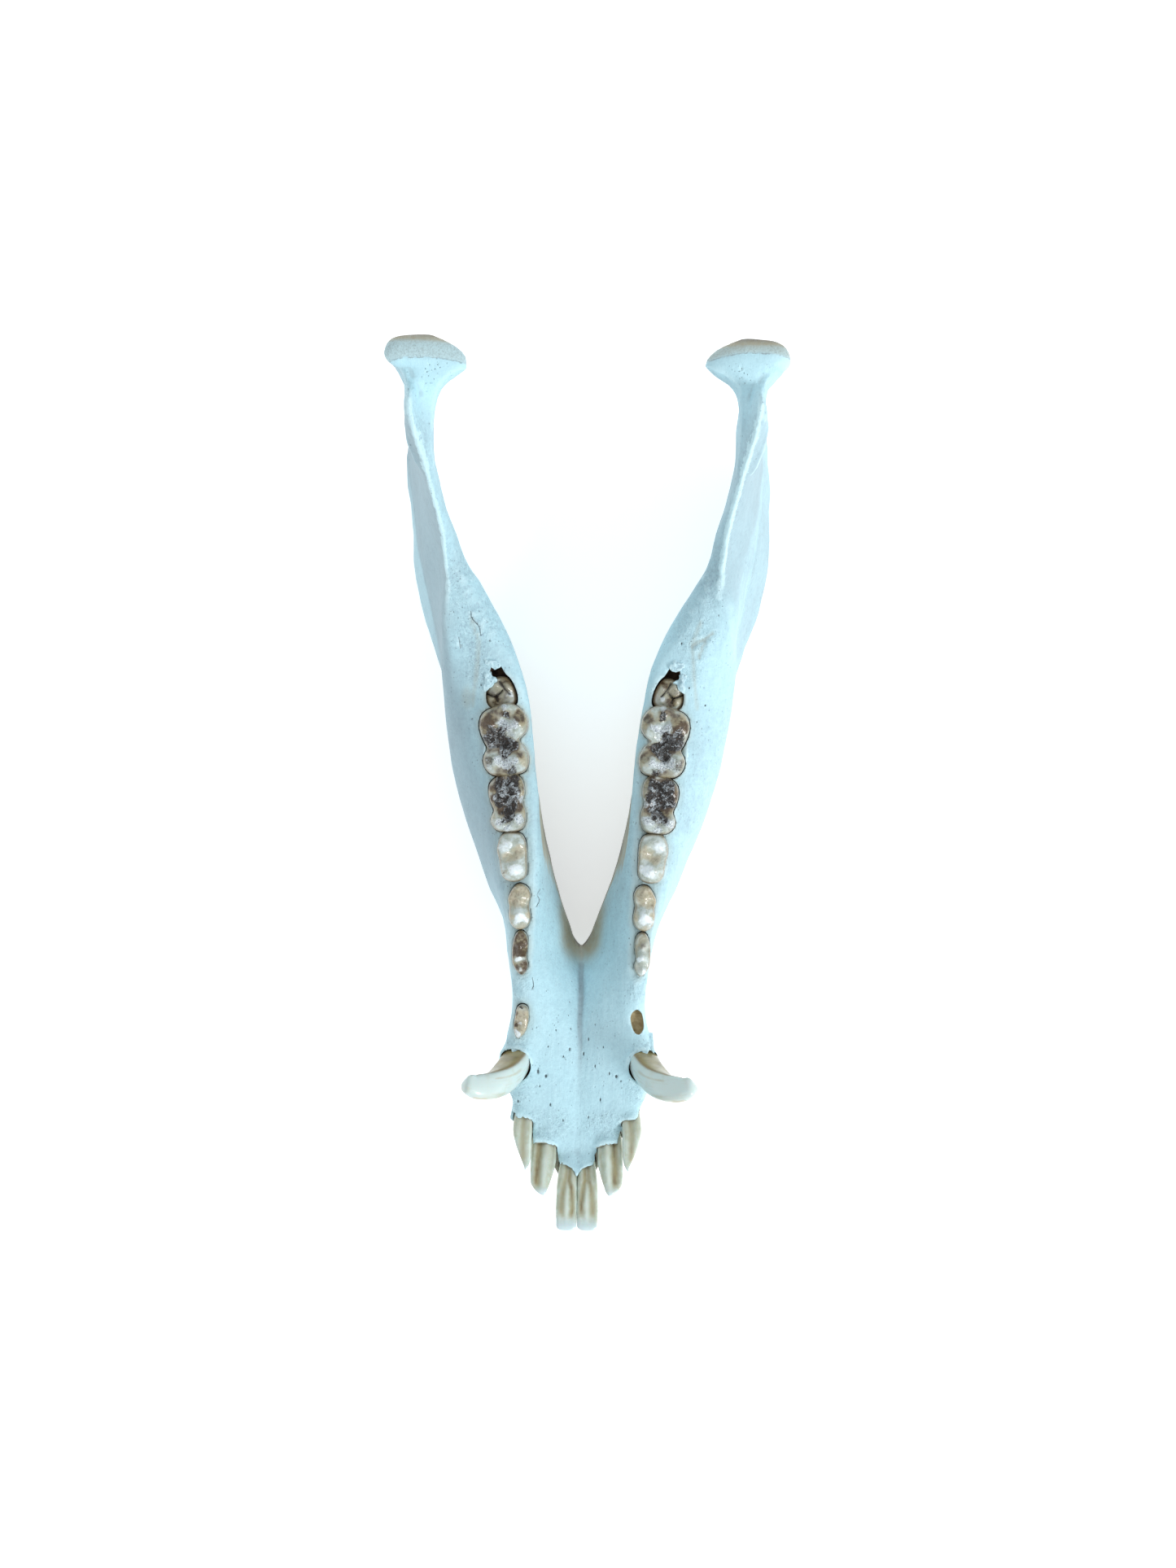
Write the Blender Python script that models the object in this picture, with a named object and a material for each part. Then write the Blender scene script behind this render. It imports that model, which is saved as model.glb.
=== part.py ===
"""Lower jaw of a young wild boar at life size: one bone with its teeth in their sockets.

The jaw lies on the lower edge of its bone, teeth up. X runs across it, Y runs from the
incisors to the jaw joints, and Z is up. Design sizes are millimetres. A station is a
distance along the jaw from the rear lobe of the first molar, plus towards the joints.
"""

import math

import bmesh
import bpy
import numpy as np
from mathutils import Matrix, Vector

MM = 0.001
SHARP_ANGLE = math.radians(50)
FRONT_STATION = -131.5
REAR_STATION = 120.6
MIDDLE_STATION = (FRONT_STATION + REAR_STATION) / 2

# Lines of the half on the +X side, the animal's left, each a list of (station, x, z) knots.
# Inside the chin they cross the midline, so that the two halves run into each other.
LOWER_BORDER = [
    (-116, 3, 35), (-104, 6, 26.5), (-92, 9, 18), (-80, 11.5, 10), (-68, 13, 4),
    (-56, 14, 0), (-44, 17, -0.8), (-25, 22.5, 0.6), (-5, 29.5, 1.5), (15, 35.5, 2.6),
    (35, 42.5, 2.4), (50, 49, 0.8), (65, 53.5, -0.9), (80, 55.2, -0.9), (95, 55.2, 2),
    (120, 55.2, 4),
]
OUTER_FOOT = [
    (-116, 5, 37), (-104, 11.6, 30), (-92, 15, 22), (-80, 16.5, 14), (-68, 17, 8),
    (-56, 18, 5), (-44, 20.5, 4.5), (-25, 26.5, 6), (-5, 33.5, 7.5), (15, 39.5, 9),
    (30, 44, 10), (40, 48.8, 9.5), (50, 52.6, 9), (65, 56.4, 8), (80, 57.6, 8),
    (120, 57.2, 12),
]
CHEEK_WALL = [
    (-116, 6, 39.5), (-104, 15, 36), (-92, 20, 32), (-80, 21.6, 27), (-68, 20.5, 24),
    (-56, 21.5, 22), (-44, 23.5, 21), (-25, 31, 22), (-5, 38.7, 23), (15, 42.8, 25),
    (35, 45, 27), (50, 48.2, 28), (65, 51.4, 31), (80, 52.2, 36), (120, 52.6, 48),
]
OBLIQUE_RIDGE = [
    (-116, 6.5, 41), (-104, 15, 40.5), (-92, 21.2, 40), (-80, 22.6, 39), (-68, 20.5, 38),
    (-56, 20.6, 37), (-44, 22, 36), (-25, 28.5, 35), (-5, 35.5, 35.5), (15, 40.5, 37.5),
    (30, 42.8, 41), (42, 43.6, 46.5), (52, 43.6, 51.5), (62, 42.8, 57.5), (75, 44.2, 70),
    (83, 45.8, 79.5), (93, 47.6, 92), (102, 49.6, 99), (120, 51.6, 101),
]
OUTER_TOOTH_MARGIN = [
    (-116, 5.5, 42.6), (-104, 13.5, 42.5), (-92, 19.6, 43), (-80, 21.2, 43.5), (-68, 20, 44),
    (-56, 20.4, 44), (-44, 21.2, 44), (-25, 24.5, 43.7), (-5, 27.8, 43.7), (13, 31.5, 44.3),
    (26, 31.5, 46), (36, 33, 48.5), (48, 37.6, 52.2), (62, 41, 60), (75, 42.7, 72),
    (83, 44.3, 82), (93, 46.3, 96), (102, 48.3, 104), (120, 49.3, 104),
]
INNER_TOOTH_MARGIN = [
    (-116, 1.5, 42.8), (-104, 6, 42.8), (-92, 12, 43), (-80, 13, 43.3), (-68, 13.3, 43.8),
    (-56, 13.7, 44), (-44, 13.6, 44), (-25, 14.3, 44), (-5, 15.4, 44), (13, 16, 44.6),
    (26, 18, 45.8), (36, 22, 47.5), (48, 30.4, 50.5), (62, 38.5, 58), (75, 41.2, 70),
    (83, 43, 79.5), (93, 44.8, 93), (102, 46.4, 100), (120, 47.2, 102),
]
UPPER_TONGUE_WALL = [
    (-116, -2, 42.2), (-104, -2, 41.3), (-92, -2, 40.3), (-80, -2, 38.3), (-68, -2, 34.5),
    (-59, -1.8, 28.5), (-53.5, 0, 24), (-49, 3, 24), (-44, 4.8, 25.2), (-35, 8.3, 28),
    (-25, 11.5, 31), (-15, 13.6, 33.5), (-5, 14.8, 35), (13, 15.6, 36.5), (26, 17.6, 38),
    (36, 20.8, 39.5), (48, 27, 42), (55, 31.8, 46), (62, 36, 50), (75, 40.2, 60),
    (85, 42.8, 68), (95, 44.2, 75), (120, 44.4, 82),
]
MID_TONGUE_WALL = [
    (-116, -3, 39), (-104, -3, 34.5), (-92, -3, 29), (-80, -3, 24), (-68, -3, 19),
    (-59, -2.5, 15.5), (-53.5, -0.3, 17), (-49, 2.4, 17), (-44, 4, 17), (-35, 7.6, 17.5),
    (-25, 11, 18), (-15, 13.3, 19), (-5, 15.4, 20), (13, 18.4, 21.5), (26, 21.6, 23),
    (36, 26, 25), (48, 32.8, 28), (62, 39, 33), (75, 42.2, 40), (85, 44.2, 45),
    (95, 45.2, 50), (120, 45.6, 52),
]
INNER_FOOT = [
    (-116, -2, 36), (-104, -2, 28), (-92, -2, 20), (-80, -2, 12), (-68, -2, 6),
    (-59, -1.5, 3.5), (-53.5, 0.5, 5), (-49, 3.4, 5), (-44, 6.5, 4.5), (-35, 11.2, 4),
    (-25, 15.6, 4), (-5, 23.5, 5.5), (15, 30.5, 7), (35, 38.2, 8), (50, 44.8, 8),
    (65, 50.2, 8), (80, 52.4, 9), (95, 52.8, 11), (120, 52.8, 13),
]
BONE_LINES = [
    LOWER_BORDER, OUTER_FOOT, CHEEK_WALL, OBLIQUE_RIDGE, OUTER_TOOTH_MARGIN,
    INNER_TOOTH_MARGIN, UPPER_TONGUE_WALL, MID_TONGUE_WALL, INNER_FOOT,
]
BONE_FIRST = -116
BONE_LAST = 119
BONE_SECTIONS = 92
RING_SPAN = 4

# Side profile of the upright rear part: coronoid tip, notch, neck, rear border, angle.
REAR_PROFILE = [
    (60, 120), (100, 120), (102.2, 104), (104.6, 100.5), (105.6, 96), (107.2, 92.4),
    (109.6, 91.6), (113.5, 95), (117, 95), (115.4, 89), (112.8, 81), (110.8, 70),
    (110.8, 58), (112.4, 45), (113.6, 33), (112.6, 22), (108.5, 12.5), (101, 5.5),
    (90, 1), (78, -2), (60, -6),
]

# Joint head: a spindle across the jaw, its inner end further forward.
JOINT_OUTER = (54.6, 116.8, 95.2)
JOINT_INNER = (32.6, 112.2, 93.8)
JOINT_HALF_DEPTHS = [(0, 2.8), (0.1, 4.4), (0.35, 5.0), (0.6, 4.6), (0.85, 3.4), (1, 1.9)]
JOINT_HALF_HEIGHTS = [(0, 2.4), (0.1, 4.0), (0.35, 4.6), (0.6, 4.2), (0.85, 3.1), (1, 1.7)]
NECK_TWIST = 0.2
JOINT_RING_POINTS = 16
JOINT_HEAD_RINGS = 13

# Rings of the neck under it: z, middle x, middle station, half width, half depth.
NECK_RINGS = [
    (70, 48.6, 107.2, 2.6, 2.8), (78, 48.3, 108.4, 4.0, 3.9), (84, 47.8, 109.8, 4.8, 4.4),
    (88, 46.6, 111, 6.6, 4.6), (91.5, 45.2, 112.6, 9.0, 4.4), (95, 44.2, 114, 9.8, 3.6),
]

# Bone surface: the voxels and smoothing that fuse its pieces, and the triangles it keeps.
VOXEL = 0.6
FUSE_PASSES = 20
BONE_TRIANGLES = 5800

# Teeth are given for the +X side, the animal's left, and mirrored to its right.
# Crowns start at the neck level, and a tusk keeps a gap to its socket.
NECK_LEVEL = 44.6
SOCKET_GAP = 0.35
CROWN_ROUNDNESS = 2.7
SWEEP_ROUNDNESS = 2.3

# Cheek teeth, front to back: where each stands, its crown, and its cusps as
# (along, across, height, spread), the first two as shares of the half length and width.
PREMOLAR_1 = {
    "x": 17.6, "station": -70.8, "length": 9.8, "width": 4.2, "waist": 0.0,
    "height": 3.6, "root": 6.0, "points": 12, "cusps": [(-0.1, 0, 1.6, 2.2)],
}
PREMOLAR_2 = {
    "x": 18.1, "station": -50.4, "length": 13.4, "width": 4.9, "waist": 0.06,
    "height": 5.2, "root": 7.0, "points": 14,
    "cusps": [(-0.15, 0, 2.2, 2.4), (0.55, 0, 0.8, 2.0)],
}
PREMOLAR_3 = {
    "x": 18.5, "station": -36.6, "length": 13.8, "width": 6.6, "waist": 0.08,
    "height": 5.6, "root": 8.0, "points": 14,
    "cusps": [(-0.1, 0, 2.2, 2.6), (0.6, 0, 1.0, 2.0)],
}
PREMOLAR_4 = {
    "x": 20.8, "station": -21.8, "length": 14.8, "width": 9.0, "waist": 0.08,
    "height": 5.8, "root": 8.0, "points": 16,
    "cusps": [(-0.2, 0, 2.0, 2.8), (0.55, 0, 1.3, 2.4)],
}
MOLAR_1 = {
    "x": 22.6, "station": -5.9, "length": 17.6, "width": 10.9, "waist": 0.13,
    "height": 6.0, "root": 8.0, "points": 20,
    "cusps": [
        (-0.48, -0.5, 1.1, 1.9), (-0.48, 0.5, 1.1, 1.9), (0.45, -0.5, 1.3, 1.9),
        (0.45, 0.5, 1.3, 1.9),
    ],
}
MOLAR_2 = {
    "x": 23.8, "station": 12.8, "length": 21.0, "width": 14.2, "waist": 0.13,
    "height": 6.2, "root": 8.0, "points": 20,
    "cusps": [
        (-0.52, -0.5, 2.2, 2.3), (-0.52, 0.5, 2.2, 2.3), (0.28, -0.5, 2.3, 2.3),
        (0.28, 0.5, 2.3, 2.3), (0.82, 0, 1.6, 1.8),
    ],
}
MOLAR_3 = {
    "x": 25.0, "station": 27.4, "length": 9.4, "width": 8.6, "waist": 0.08,
    "height": 0.0, "root": 11.0, "points": 16,
    "cusps": [
        (-0.5, -0.45, 1.8, 1.9), (-0.5, 0.45, 1.8, 1.9), (0.3, -0.45, 1.4, 1.9),
        (0.3, 0.45, 1.4, 1.9),
    ],
}
CHEEK_TEETH = {
    "premolar_1": PREMOLAR_1, "premolar_2": PREMOLAR_2, "premolar_3": PREMOLAR_3,
    "premolar_4": PREMOLAR_4, "molar_1": MOLAR_1, "molar_2": MOLAR_2, "molar_3": MOLAR_3,
}

# Front teeth as sweeps: (x, station, z, width, thickness) from the root to the tip.
INCISOR_1 = [
    (3.0, -103, 33.5, 3.6, 3.4), (3.25, -108, 37.5, 5.0, 4.6), (3.4, -113, 41, 5.9, 5.0),
    (3.45, -119, 44.6, 6.2, 4.4), (3.45, -125.5, 48.6, 6.2, 3.2), (3.4, -131, 52.2, 5.4, 1.2),
]
INCISOR_2 = [
    (8.8, -96, 33, 3.8, 3.4), (9.6, -101, 37, 5.2, 4.6), (10.1, -106, 40.5, 6.4, 4.8),
    (10.2, -111.5, 44, 6.9, 4.2), (10.3, -117, 47.4, 6.6, 3.0), (10.2, -121.8, 50.4, 4.4, 1.4),
]
INCISOR_3 = [
    (14.6, -91, 35, 3.2, 3.0), (15.5, -95.5, 38.5, 4.4, 3.8), (16.1, -99.5, 41, 5.3, 4.0),
    (16.2, -104, 43.5, 5.5, 3.6), (15.8, -109.5, 46, 4.6, 2.6), (15.1, -114.6, 48.3, 2.2, 1.0),
]
TUSK = [
    (14.5, -74, 25, 7.2, 7.2), (17.0, -80, 34, 8.8, 8.8), (19.4, -84.6, 42.5, 9.4, 9.4),
    (22.6, -87.6, 50, 9.0, 9.2), (26.5, -89.0, 56.0, 7.8, 8.2), (30.2, -88.6, 60.3, 6.4, 6.6),
    (33.0, -87.4, 62.6, 4.2, 4.4),
]
TUSK_SIDE = (0, 1, 0)
TUSK_SOCKET_ROWS = 5
SWEEP_POINTS = 12

# Each incisor's sweep and the direction that its width lies in.
INCISORS = {
    "incisor_1": (INCISOR_1, (1, 0, 0)),
    "incisor_2": (INCISOR_2, (1, 0.12, 0)),
    "incisor_3": (INCISOR_3, (1, 0.3, 0)),
}

# Pits as ovals (x, station, z, width, length) from the floor up: the socket of the left
# first premolar, which is lost, and the crypt that the last molar comes up through.
PIT_POINTS = 16
EMPTY_SOCKET = [
    (16.8, -70.8, 37.5, 2.0, 4.4), (16.9, -70.8, 39.5, 3.0, 6.2), (17.0, -70.8, 42.5, 3.6, 7.2),
    (17.0, -70.8, 48, 4.2, 7.8),
]
CRYPT = [
    (25.2, 28.6, 35, 8.6, 11.0), (25.2, 28.6, 38, 9.6, 12.4), (25.2, 28.7, 42, 10.0, 13.2),
    (25.2, 28.8, 46, 10.0, 13.4), (25.2, 28.8, 56, 10.0, 13.4),
]

# Openings of nerves and vessels: place, direction inwards, width and depth. Three are on
# the cheek side under the premolars, and one is inside the upright part.
HOLE_DIRECTION = (0, 0.3, 1)
HOLE_POINTS = 8
FORAMINA = [
    ((21.5, -60, 20), (-1, 0.5, 0.1), 3.4, 4.0), ((24.5, -46, 22), (-1, 0.4, 0.1), 2.8, 3.6),
    ((31.0, -27, 20), (-1, 0.3, 0.1), 2.4, 3.4), ((40.6, 74, 47), (0.9, -0.7, -0.35), 4.6, 3.4),
]


def to_frame(x, station, z):
    """A design point in the part's own frame, in metres."""
    return Vector((x, station - MIDDLE_STATION, z)) * MM


def along(knots, at):
    """The values that smooth curves through knots of (at, value, ...) have at one place."""
    rows = np.array(knots, float)
    places, values = rows[:, 0], rows[:, 1:]
    slopes = np.gradient(values, places, axis=0)
    i = int(np.clip(np.searchsorted(places, at) - 1, 0, len(places) - 2))
    width = places[i + 1] - places[i]
    t = float(np.clip((at - places[i]) / width, 0, 1))
    return (
        (2 * t**3 - 3 * t**2 + 1) * values[i]
        + (t**3 - 2 * t**2 + t) * width * slopes[i]
        + (3 * t**2 - 2 * t**3) * values[i + 1]
        + (t**3 - t**2) * width * slopes[i + 1]
    )


def closed_curve(points, per_span):
    """A smooth closed curve through points, as a list of per_span points for each one."""
    pts = [np.array(p, float) for p in points]
    count = len(pts)
    made = []
    for i in range(count):
        before, a, b, after = (pts[(i + k) % count] for k in (-1, 0, 1, 2))
        for step in range(per_span):
            t = step / per_span
            made.append(
                0.5 * (
                    2 * a + (b - before) * t
                    + (2 * before - 5 * a + 4 * b - after) * t**2
                    + (3 * a - before - 3 * b + after) * t**3
                )
            )
    return made


def new_object(name, mesh):
    """Links a mesh to the scene under its own name."""
    obj = bpy.data.objects.new(name, mesh)
    bpy.context.scene.collection.objects.link(obj)
    return obj


def loft(name, rings, tip=None):
    """A closed body through rings, flat at its foot and drawn to a point at its top."""
    mesh = bpy.data.meshes.new(name)
    bm = bmesh.new()
    rows = [[bm.verts.new(p) for p in ring] for ring in rings]
    count = len(rows[0])
    for lower, upper in zip(rows, rows[1:]):
        for i in range(count):
            j = (i + 1) % count
            bm.faces.new((lower[i], lower[j], upper[j], upper[i]))
    bm.faces.new(rows[0][::-1])
    if tip is None:
        bm.faces.new(rows[-1])
    else:
        point = bm.verts.new(tip)
        for i in range(count):
            bm.faces.new((rows[-1][i], rows[-1][(i + 1) % count], point))
    bmesh.ops.triangulate(bm, faces=bm.faces)
    bmesh.ops.recalc_face_normals(bm, faces=bm.faces)
    bm.to_mesh(mesh)
    bm.free()
    return new_object(name, mesh)


def combine(target, operation, operands):
    """Cuts, trims or joins the target with closed bodies, which are then removed."""
    group = bpy.data.collections.new("operands")
    bpy.context.scene.collection.children.link(group)
    for obj in operands:
        bpy.context.scene.collection.objects.unlink(obj)
        group.objects.link(obj)
    modifier = target.modifiers.new("combine", "BOOLEAN")
    modifier.operation = operation
    modifier.solver = "MANIFOLD"
    modifier.operand_type = "COLLECTION"
    modifier.collection = group
    settle(target)
    for obj in operands:
        bpy.data.objects.remove(obj)
    bpy.data.collections.remove(group)


def settle(obj):
    """Makes what the object's modifiers show its own mesh."""
    bpy.context.view_layer.update()
    graph = bpy.context.evaluated_depsgraph_get()
    mesh = bpy.data.meshes.new_from_object(obj.evaluated_get(graph))
    obj.modifiers.clear()
    obj.data = mesh


def keep_largest(obj):
    """Drops folded scraps of no thickness, and every closed surface but the largest."""
    bm = bmesh.new()
    bm.from_mesh(obj.data)
    bmesh.ops.triangulate(bm, faces=bm.faces)
    faces_at = {}
    for face in bm.faces:
        faces_at.setdefault(frozenset(face.verts), []).append(face)
    for folded in [faces for faces in faces_at.values() if len(faces) > 1]:
        bmesh.ops.delete(bm, geom=folded, context="FACES")
    left = set(bm.verts)
    islands = []
    while left:
        island, front = set(), [left.pop()]
        while front:
            vert = front.pop()
            island.add(vert)
            for edge in vert.link_edges:
                other = edge.other_vert(vert)
                if other in left:
                    left.remove(other)
                    front.append(other)
        islands.append(island)
    islands.sort(key=len)
    for island in islands[:-1]:
        bmesh.ops.delete(bm, geom=list(island), context="VERTS")
    bm.to_mesh(obj.data)
    bm.free()


def bone_half():
    """Half of the jaw from its front end to its rear border, as one lofted body."""
    rings = []
    for station in np.linspace(BONE_FIRST, BONE_LAST, BONE_SECTIONS):
        corners = [along(line, station) for line in BONE_LINES]
        ring = closed_curve(corners, RING_SPAN)
        rings.append([to_frame(x, station, z) for x, z in ring])
    return loft("half", rings)


def rear_trim():
    """The block that the side profile of the upright rear part leaves of the half."""
    outline = [(-140, -6), (-140, 120)] + REAR_PROFILE
    rings = [[to_frame(x, station, z) for station, z in outline] for x in (-12, 70)]
    return loft("side_profile", rings)


def joint_head():
    """The spindle that the skull turns on, and the neck that widens up to it."""
    outer, inner = Vector(JOINT_OUTER), Vector(JOINT_INNER)
    forward = Vector((inner - outer).cross(Vector((0, 0, 1)))).normalized()
    head = []
    turns = np.linspace(0, math.tau, JOINT_RING_POINTS, endpoint=False)
    for t in np.linspace(0, 1, JOINT_HEAD_RINGS):
        depth = float(along(JOINT_HALF_DEPTHS, t)[0])
        height = float(along(JOINT_HALF_HEIGHTS, t)[0])
        middle = outer.lerp(inner, t)
        ring = []
        for turn in turns:
            point = middle + forward * depth * math.cos(turn)
            ring.append(to_frame(point.x, point.y, point.z + height * math.sin(turn)))
        head.append(ring)
    neck = []
    for z, x, station, half_width, half_depth in NECK_RINGS:
        ring = []
        for turn in turns:
            twist = (station - NECK_RINGS[0][2]) * NECK_TWIST * math.cos(turn)
            depth = half_depth * math.sin(turn)
            ring.append(to_frame(x + half_width * math.cos(turn), station + twist + depth, z))
        neck.append(ring)
    return [loft("joint_head", head), loft("joint_neck", neck)]


def joined(name, objects):
    """One object that holds the meshes of all of these, still as separate shells."""
    bm = bmesh.new()
    for obj in objects:
        bm.from_mesh(obj.data)
    mesh = bpy.data.meshes.new(name)
    bm.to_mesh(mesh)
    bm.free()
    for obj in objects:
        bpy.data.objects.remove(obj)
    return new_object(name, mesh)


def mirrored_copy(obj):
    """The same piece on the other side of the jaw."""
    mesh = obj.data.copy()
    mesh.transform(Matrix.Scale(-1, 4, (1, 0, 0)))
    mesh.flip_normals()
    return new_object(obj.name + "_mirrored", mesh)


def flatten_underside(obj):
    """Cuts the lowest fraction of a millimetre away, which leaves the flats it rests on."""
    corners = [(-70, -140), (70, -140), (70, 140), (-70, 140)]
    slab = loft("floor", [[Vector((x, y, z)) * MM for x, y in corners] for z in (-9, 0)])
    combine(obj, "DIFFERENCE", [slab])


def fused_bone():
    """Fuses the pieces of both halves into one smooth bone of even triangles."""
    half = bone_half()
    combine(half, "INTERSECT", [rear_trim()])
    left = joined("half_with_joint", [half] + joint_head())
    bone = joined("jaw_bone", [mirrored_copy(left), left])
    remesh = bone.modifiers.new("fuse", "REMESH")
    remesh.mode = "VOXEL"
    remesh.voxel_size = VOXEL * MM
    smooth = bone.modifiers.new("soften", "SMOOTH")
    smooth.factor = 0.5
    smooth.iterations = FUSE_PASSES
    settle(bone)
    keep_largest(bone)
    thin = bone.modifiers.new("fewer triangles", "DECIMATE")
    thin.ratio = BONE_TRIANGLES / len(bone.data.polygons)
    settle(bone)
    flatten_underside(bone)
    return bone


def oval(count, roundness):
    """Points round a rounded rectangle that fills the square from -1 to 1."""
    made = []
    for turn in np.linspace(0, math.tau, count, endpoint=False):
        c, s = math.cos(turn), math.sin(turn)
        power = 2 / roundness
        made.append((math.copysign(abs(c) ** power, c), math.copysign(abs(s) ** power, s)))
    return made


def cheek_outline(tooth):
    """A cheek tooth's outline from above, pinched between its front and rear cusps."""
    outline = []
    for across, lengthwise in oval(tooth["points"], CROWN_ROUNDNESS):
        pinch = 1 - tooth["waist"] * math.exp(-((lengthwise / 0.3) ** 2))
        outline.append((across * pinch * tooth["width"] / 2, lengthwise * tooth["length"] / 2))
    return outline


def cheek_place(tooth, x, y, z):
    """A point given from the middle of a tooth's neck, in the part's frame."""
    return to_frame(tooth["x"] + x, tooth["station"] + y, NECK_LEVEL + z)


def cheek_tooth(name, tooth):
    """A low crown with rounded cusps on a root that narrows into the bone."""
    height = tooth["height"]
    if height:
        sides = [(-2.5, 0.88), (0.0, 0.95), (0.5 * height, 1.0), (0.85 * height, 0.95)]
    else:
        sides = [(-4, 0.97), (-1.5, 0.93)]
    rings = []
    for z, share in [(-tooth["root"], 0.66)] + sides:
        rings.append([
            cheek_place(tooth, x * share, y * share, z) for x, y in cheek_outline(tooth)
        ])
    for share in (0.8, 0.56, 0.28):
        crown = [(x * share, y * share) for x, y in cheek_outline(tooth)]
        rings.append([cheek_place(tooth, x, y, crown_top(tooth, x, y)) for x, y in crown])
    return loft(name, rings, cheek_place(tooth, 0, 0, crown_top(tooth, 0, 0)))


def crown_top(tooth, x, y):
    """Height of the chewing surface over the tooth's neck."""
    top = tooth["height"] + 0.2
    for along_share, across_share, height, spread in tooth["cusps"]:
        dx = x - across_share * tooth["width"] / 2
        dy = y - along_share * tooth["length"] / 2
        top += height * math.exp(-(dx * dx + dy * dy) / spread**2)
    return top


def sweep(name, path, side, count=SWEEP_POINTS, grow=0.0):
    """An oval section carried along a path of (x, station, z, width, thickness)."""
    places = [Vector(row[:3]) for row in path]
    rings = []
    for i, (place, row) in enumerate(zip(places, path)):
        ahead = (places[min(i + 1, len(places) - 1)] - places[max(i - 1, 0)]).normalized()
        across = (Vector(side) - ahead * Vector(side).dot(ahead)).normalized()
        up = ahead.cross(across)
        middle = place - ahead * grow if i == 0 else place
        ring = []
        for a, b in oval(count, SWEEP_ROUNDNESS):
            point = middle + across * a * (row[3] / 2 + grow) + up * b * (row[4] / 2 + grow)
            ring.append(to_frame(*point))
        rings.append(ring)
    return loft(name, rings)


def pit(name, rows):
    """A cutter with upright walls: one oval for each (x, station, z, width, length)."""
    outline = oval(PIT_POINTS, SWEEP_ROUNDNESS)
    rings = []
    for x, station, z, width, length in rows:
        rings.append([
            to_frame(x + a * width / 2, station + b * length / 2, z) for a, b in outline
        ])
    return loft(name, rings)


def principled(name, colour, roughness):
    """A plain material: bone and teeth reflect no metal."""
    material = bpy.data.materials.new(name)
    material.use_nodes = True
    shader = material.node_tree.nodes["Principled BSDF"]
    shader.inputs["Base Color"].default_value = (*colour, 1)
    shader.inputs["Roughness"].default_value = roughness
    shader.inputs["Metallic"].default_value = 0
    material.diffuse_color = (*colour, 1)
    return material


def finish(obj, name, material):
    """Names a finished piece, gives it its material and shades its round faces smooth."""
    obj.name = name
    obj.data.name = name
    obj.data.materials.clear()
    obj.data.materials.append(material)
    obj.data.shade_smooth()
    obj.data.set_sharp_from_angle(angle=SHARP_ANGLE)


def hollow_cutters():
    """The crypt of the last molar, the tusk's socket and the small holes, on one side."""
    socket = sweep("tusk_socket", TUSK[:TUSK_SOCKET_ROWS], TUSK_SIDE, grow=SOCKET_GAP)
    cutters = [pit("crypt", CRYPT), socket]
    for place, inwards, width, depth in FORAMINA:
        mouth, way = Vector(place), Vector(inwards).normalized()
        path = [
            (*(mouth - way * 3), width * 1.3, width * 1.3), (*mouth, width, width),
            (*(mouth + way * depth), width * 0.6, width * 0.6),
        ]
        cutters.append(sweep("foramen", path, HOLE_DIRECTION, HOLE_POINTS))
    return cutters


def cut_hollows(bone):
    """Cuts the same hollows on both sides, and the pit of the premolar that is lost."""
    cutters = hollow_cutters()
    cutters += [mirrored_copy(cutter) for cutter in cutters]
    cutters.append(pit("lost_premolar_pit", EMPTY_SOCKET))
    combine(bone, "DIFFERENCE", cutters)


def rooted_teeth():
    """All teeth but the tusks, with their roots sunk in the bone."""
    left = [cheek_tooth(name, tooth) for name, tooth in CHEEK_TEETH.items()]
    left += [sweep(name, path, side) for name, (path, side) in INCISORS.items()]
    right = [mirrored_copy(tooth) for tooth in left]
    lost_premolar = left.pop(0)
    bpy.data.objects.remove(lost_premolar)
    return left + right


def clear_scene():
    """Empties the scene of its objects."""
    for obj in list(bpy.data.objects):
        bpy.data.objects.remove(obj)


def main():
    clear_scene()
    mandible = fused_bone()
    cut_hollows(mandible)
    combine(mandible, "UNION", rooted_teeth())
    keep_largest(mandible)
    finish(mandible, "mandible", principled("bone", (0.62, 0.80, 0.86), 0.6))
    left = sweep("tusk", TUSK, TUSK_SIDE)
    right = mirrored_copy(left)
    finish(left, "canine_left", principled("ivory_left", (0.80, 0.80, 0.70), 0.3))
    finish(right, "canine_right", principled("ivory_right", (0.80, 0.80, 0.70), 0.3))


if __name__ == "__main__":
    main()
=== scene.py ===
"""Young wild boar's lower jaw: weathered bone with its teeth, on a pale studio floor."""

import math

import bpy
import numpy as np
from bpy.props import FloatProperty, FloatVectorProperty, PointerProperty
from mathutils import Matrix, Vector


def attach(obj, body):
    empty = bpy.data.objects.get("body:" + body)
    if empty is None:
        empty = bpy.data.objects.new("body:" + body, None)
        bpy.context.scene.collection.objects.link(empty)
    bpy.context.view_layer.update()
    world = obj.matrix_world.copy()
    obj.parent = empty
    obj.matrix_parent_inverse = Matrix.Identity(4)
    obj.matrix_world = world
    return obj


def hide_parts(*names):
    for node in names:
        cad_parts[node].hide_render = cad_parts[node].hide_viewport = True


bl_info = {
    "name": "Boar Jaw",
    "version": (1, 0, 0),
    "blender": (4, 5, 0),
    "location": "View3D > Sidebar > Boar Jaw",
    "description": "Builds a wild boar's lower jaw, its teeth and a studio stage",
    "category": "Object",
}

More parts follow.
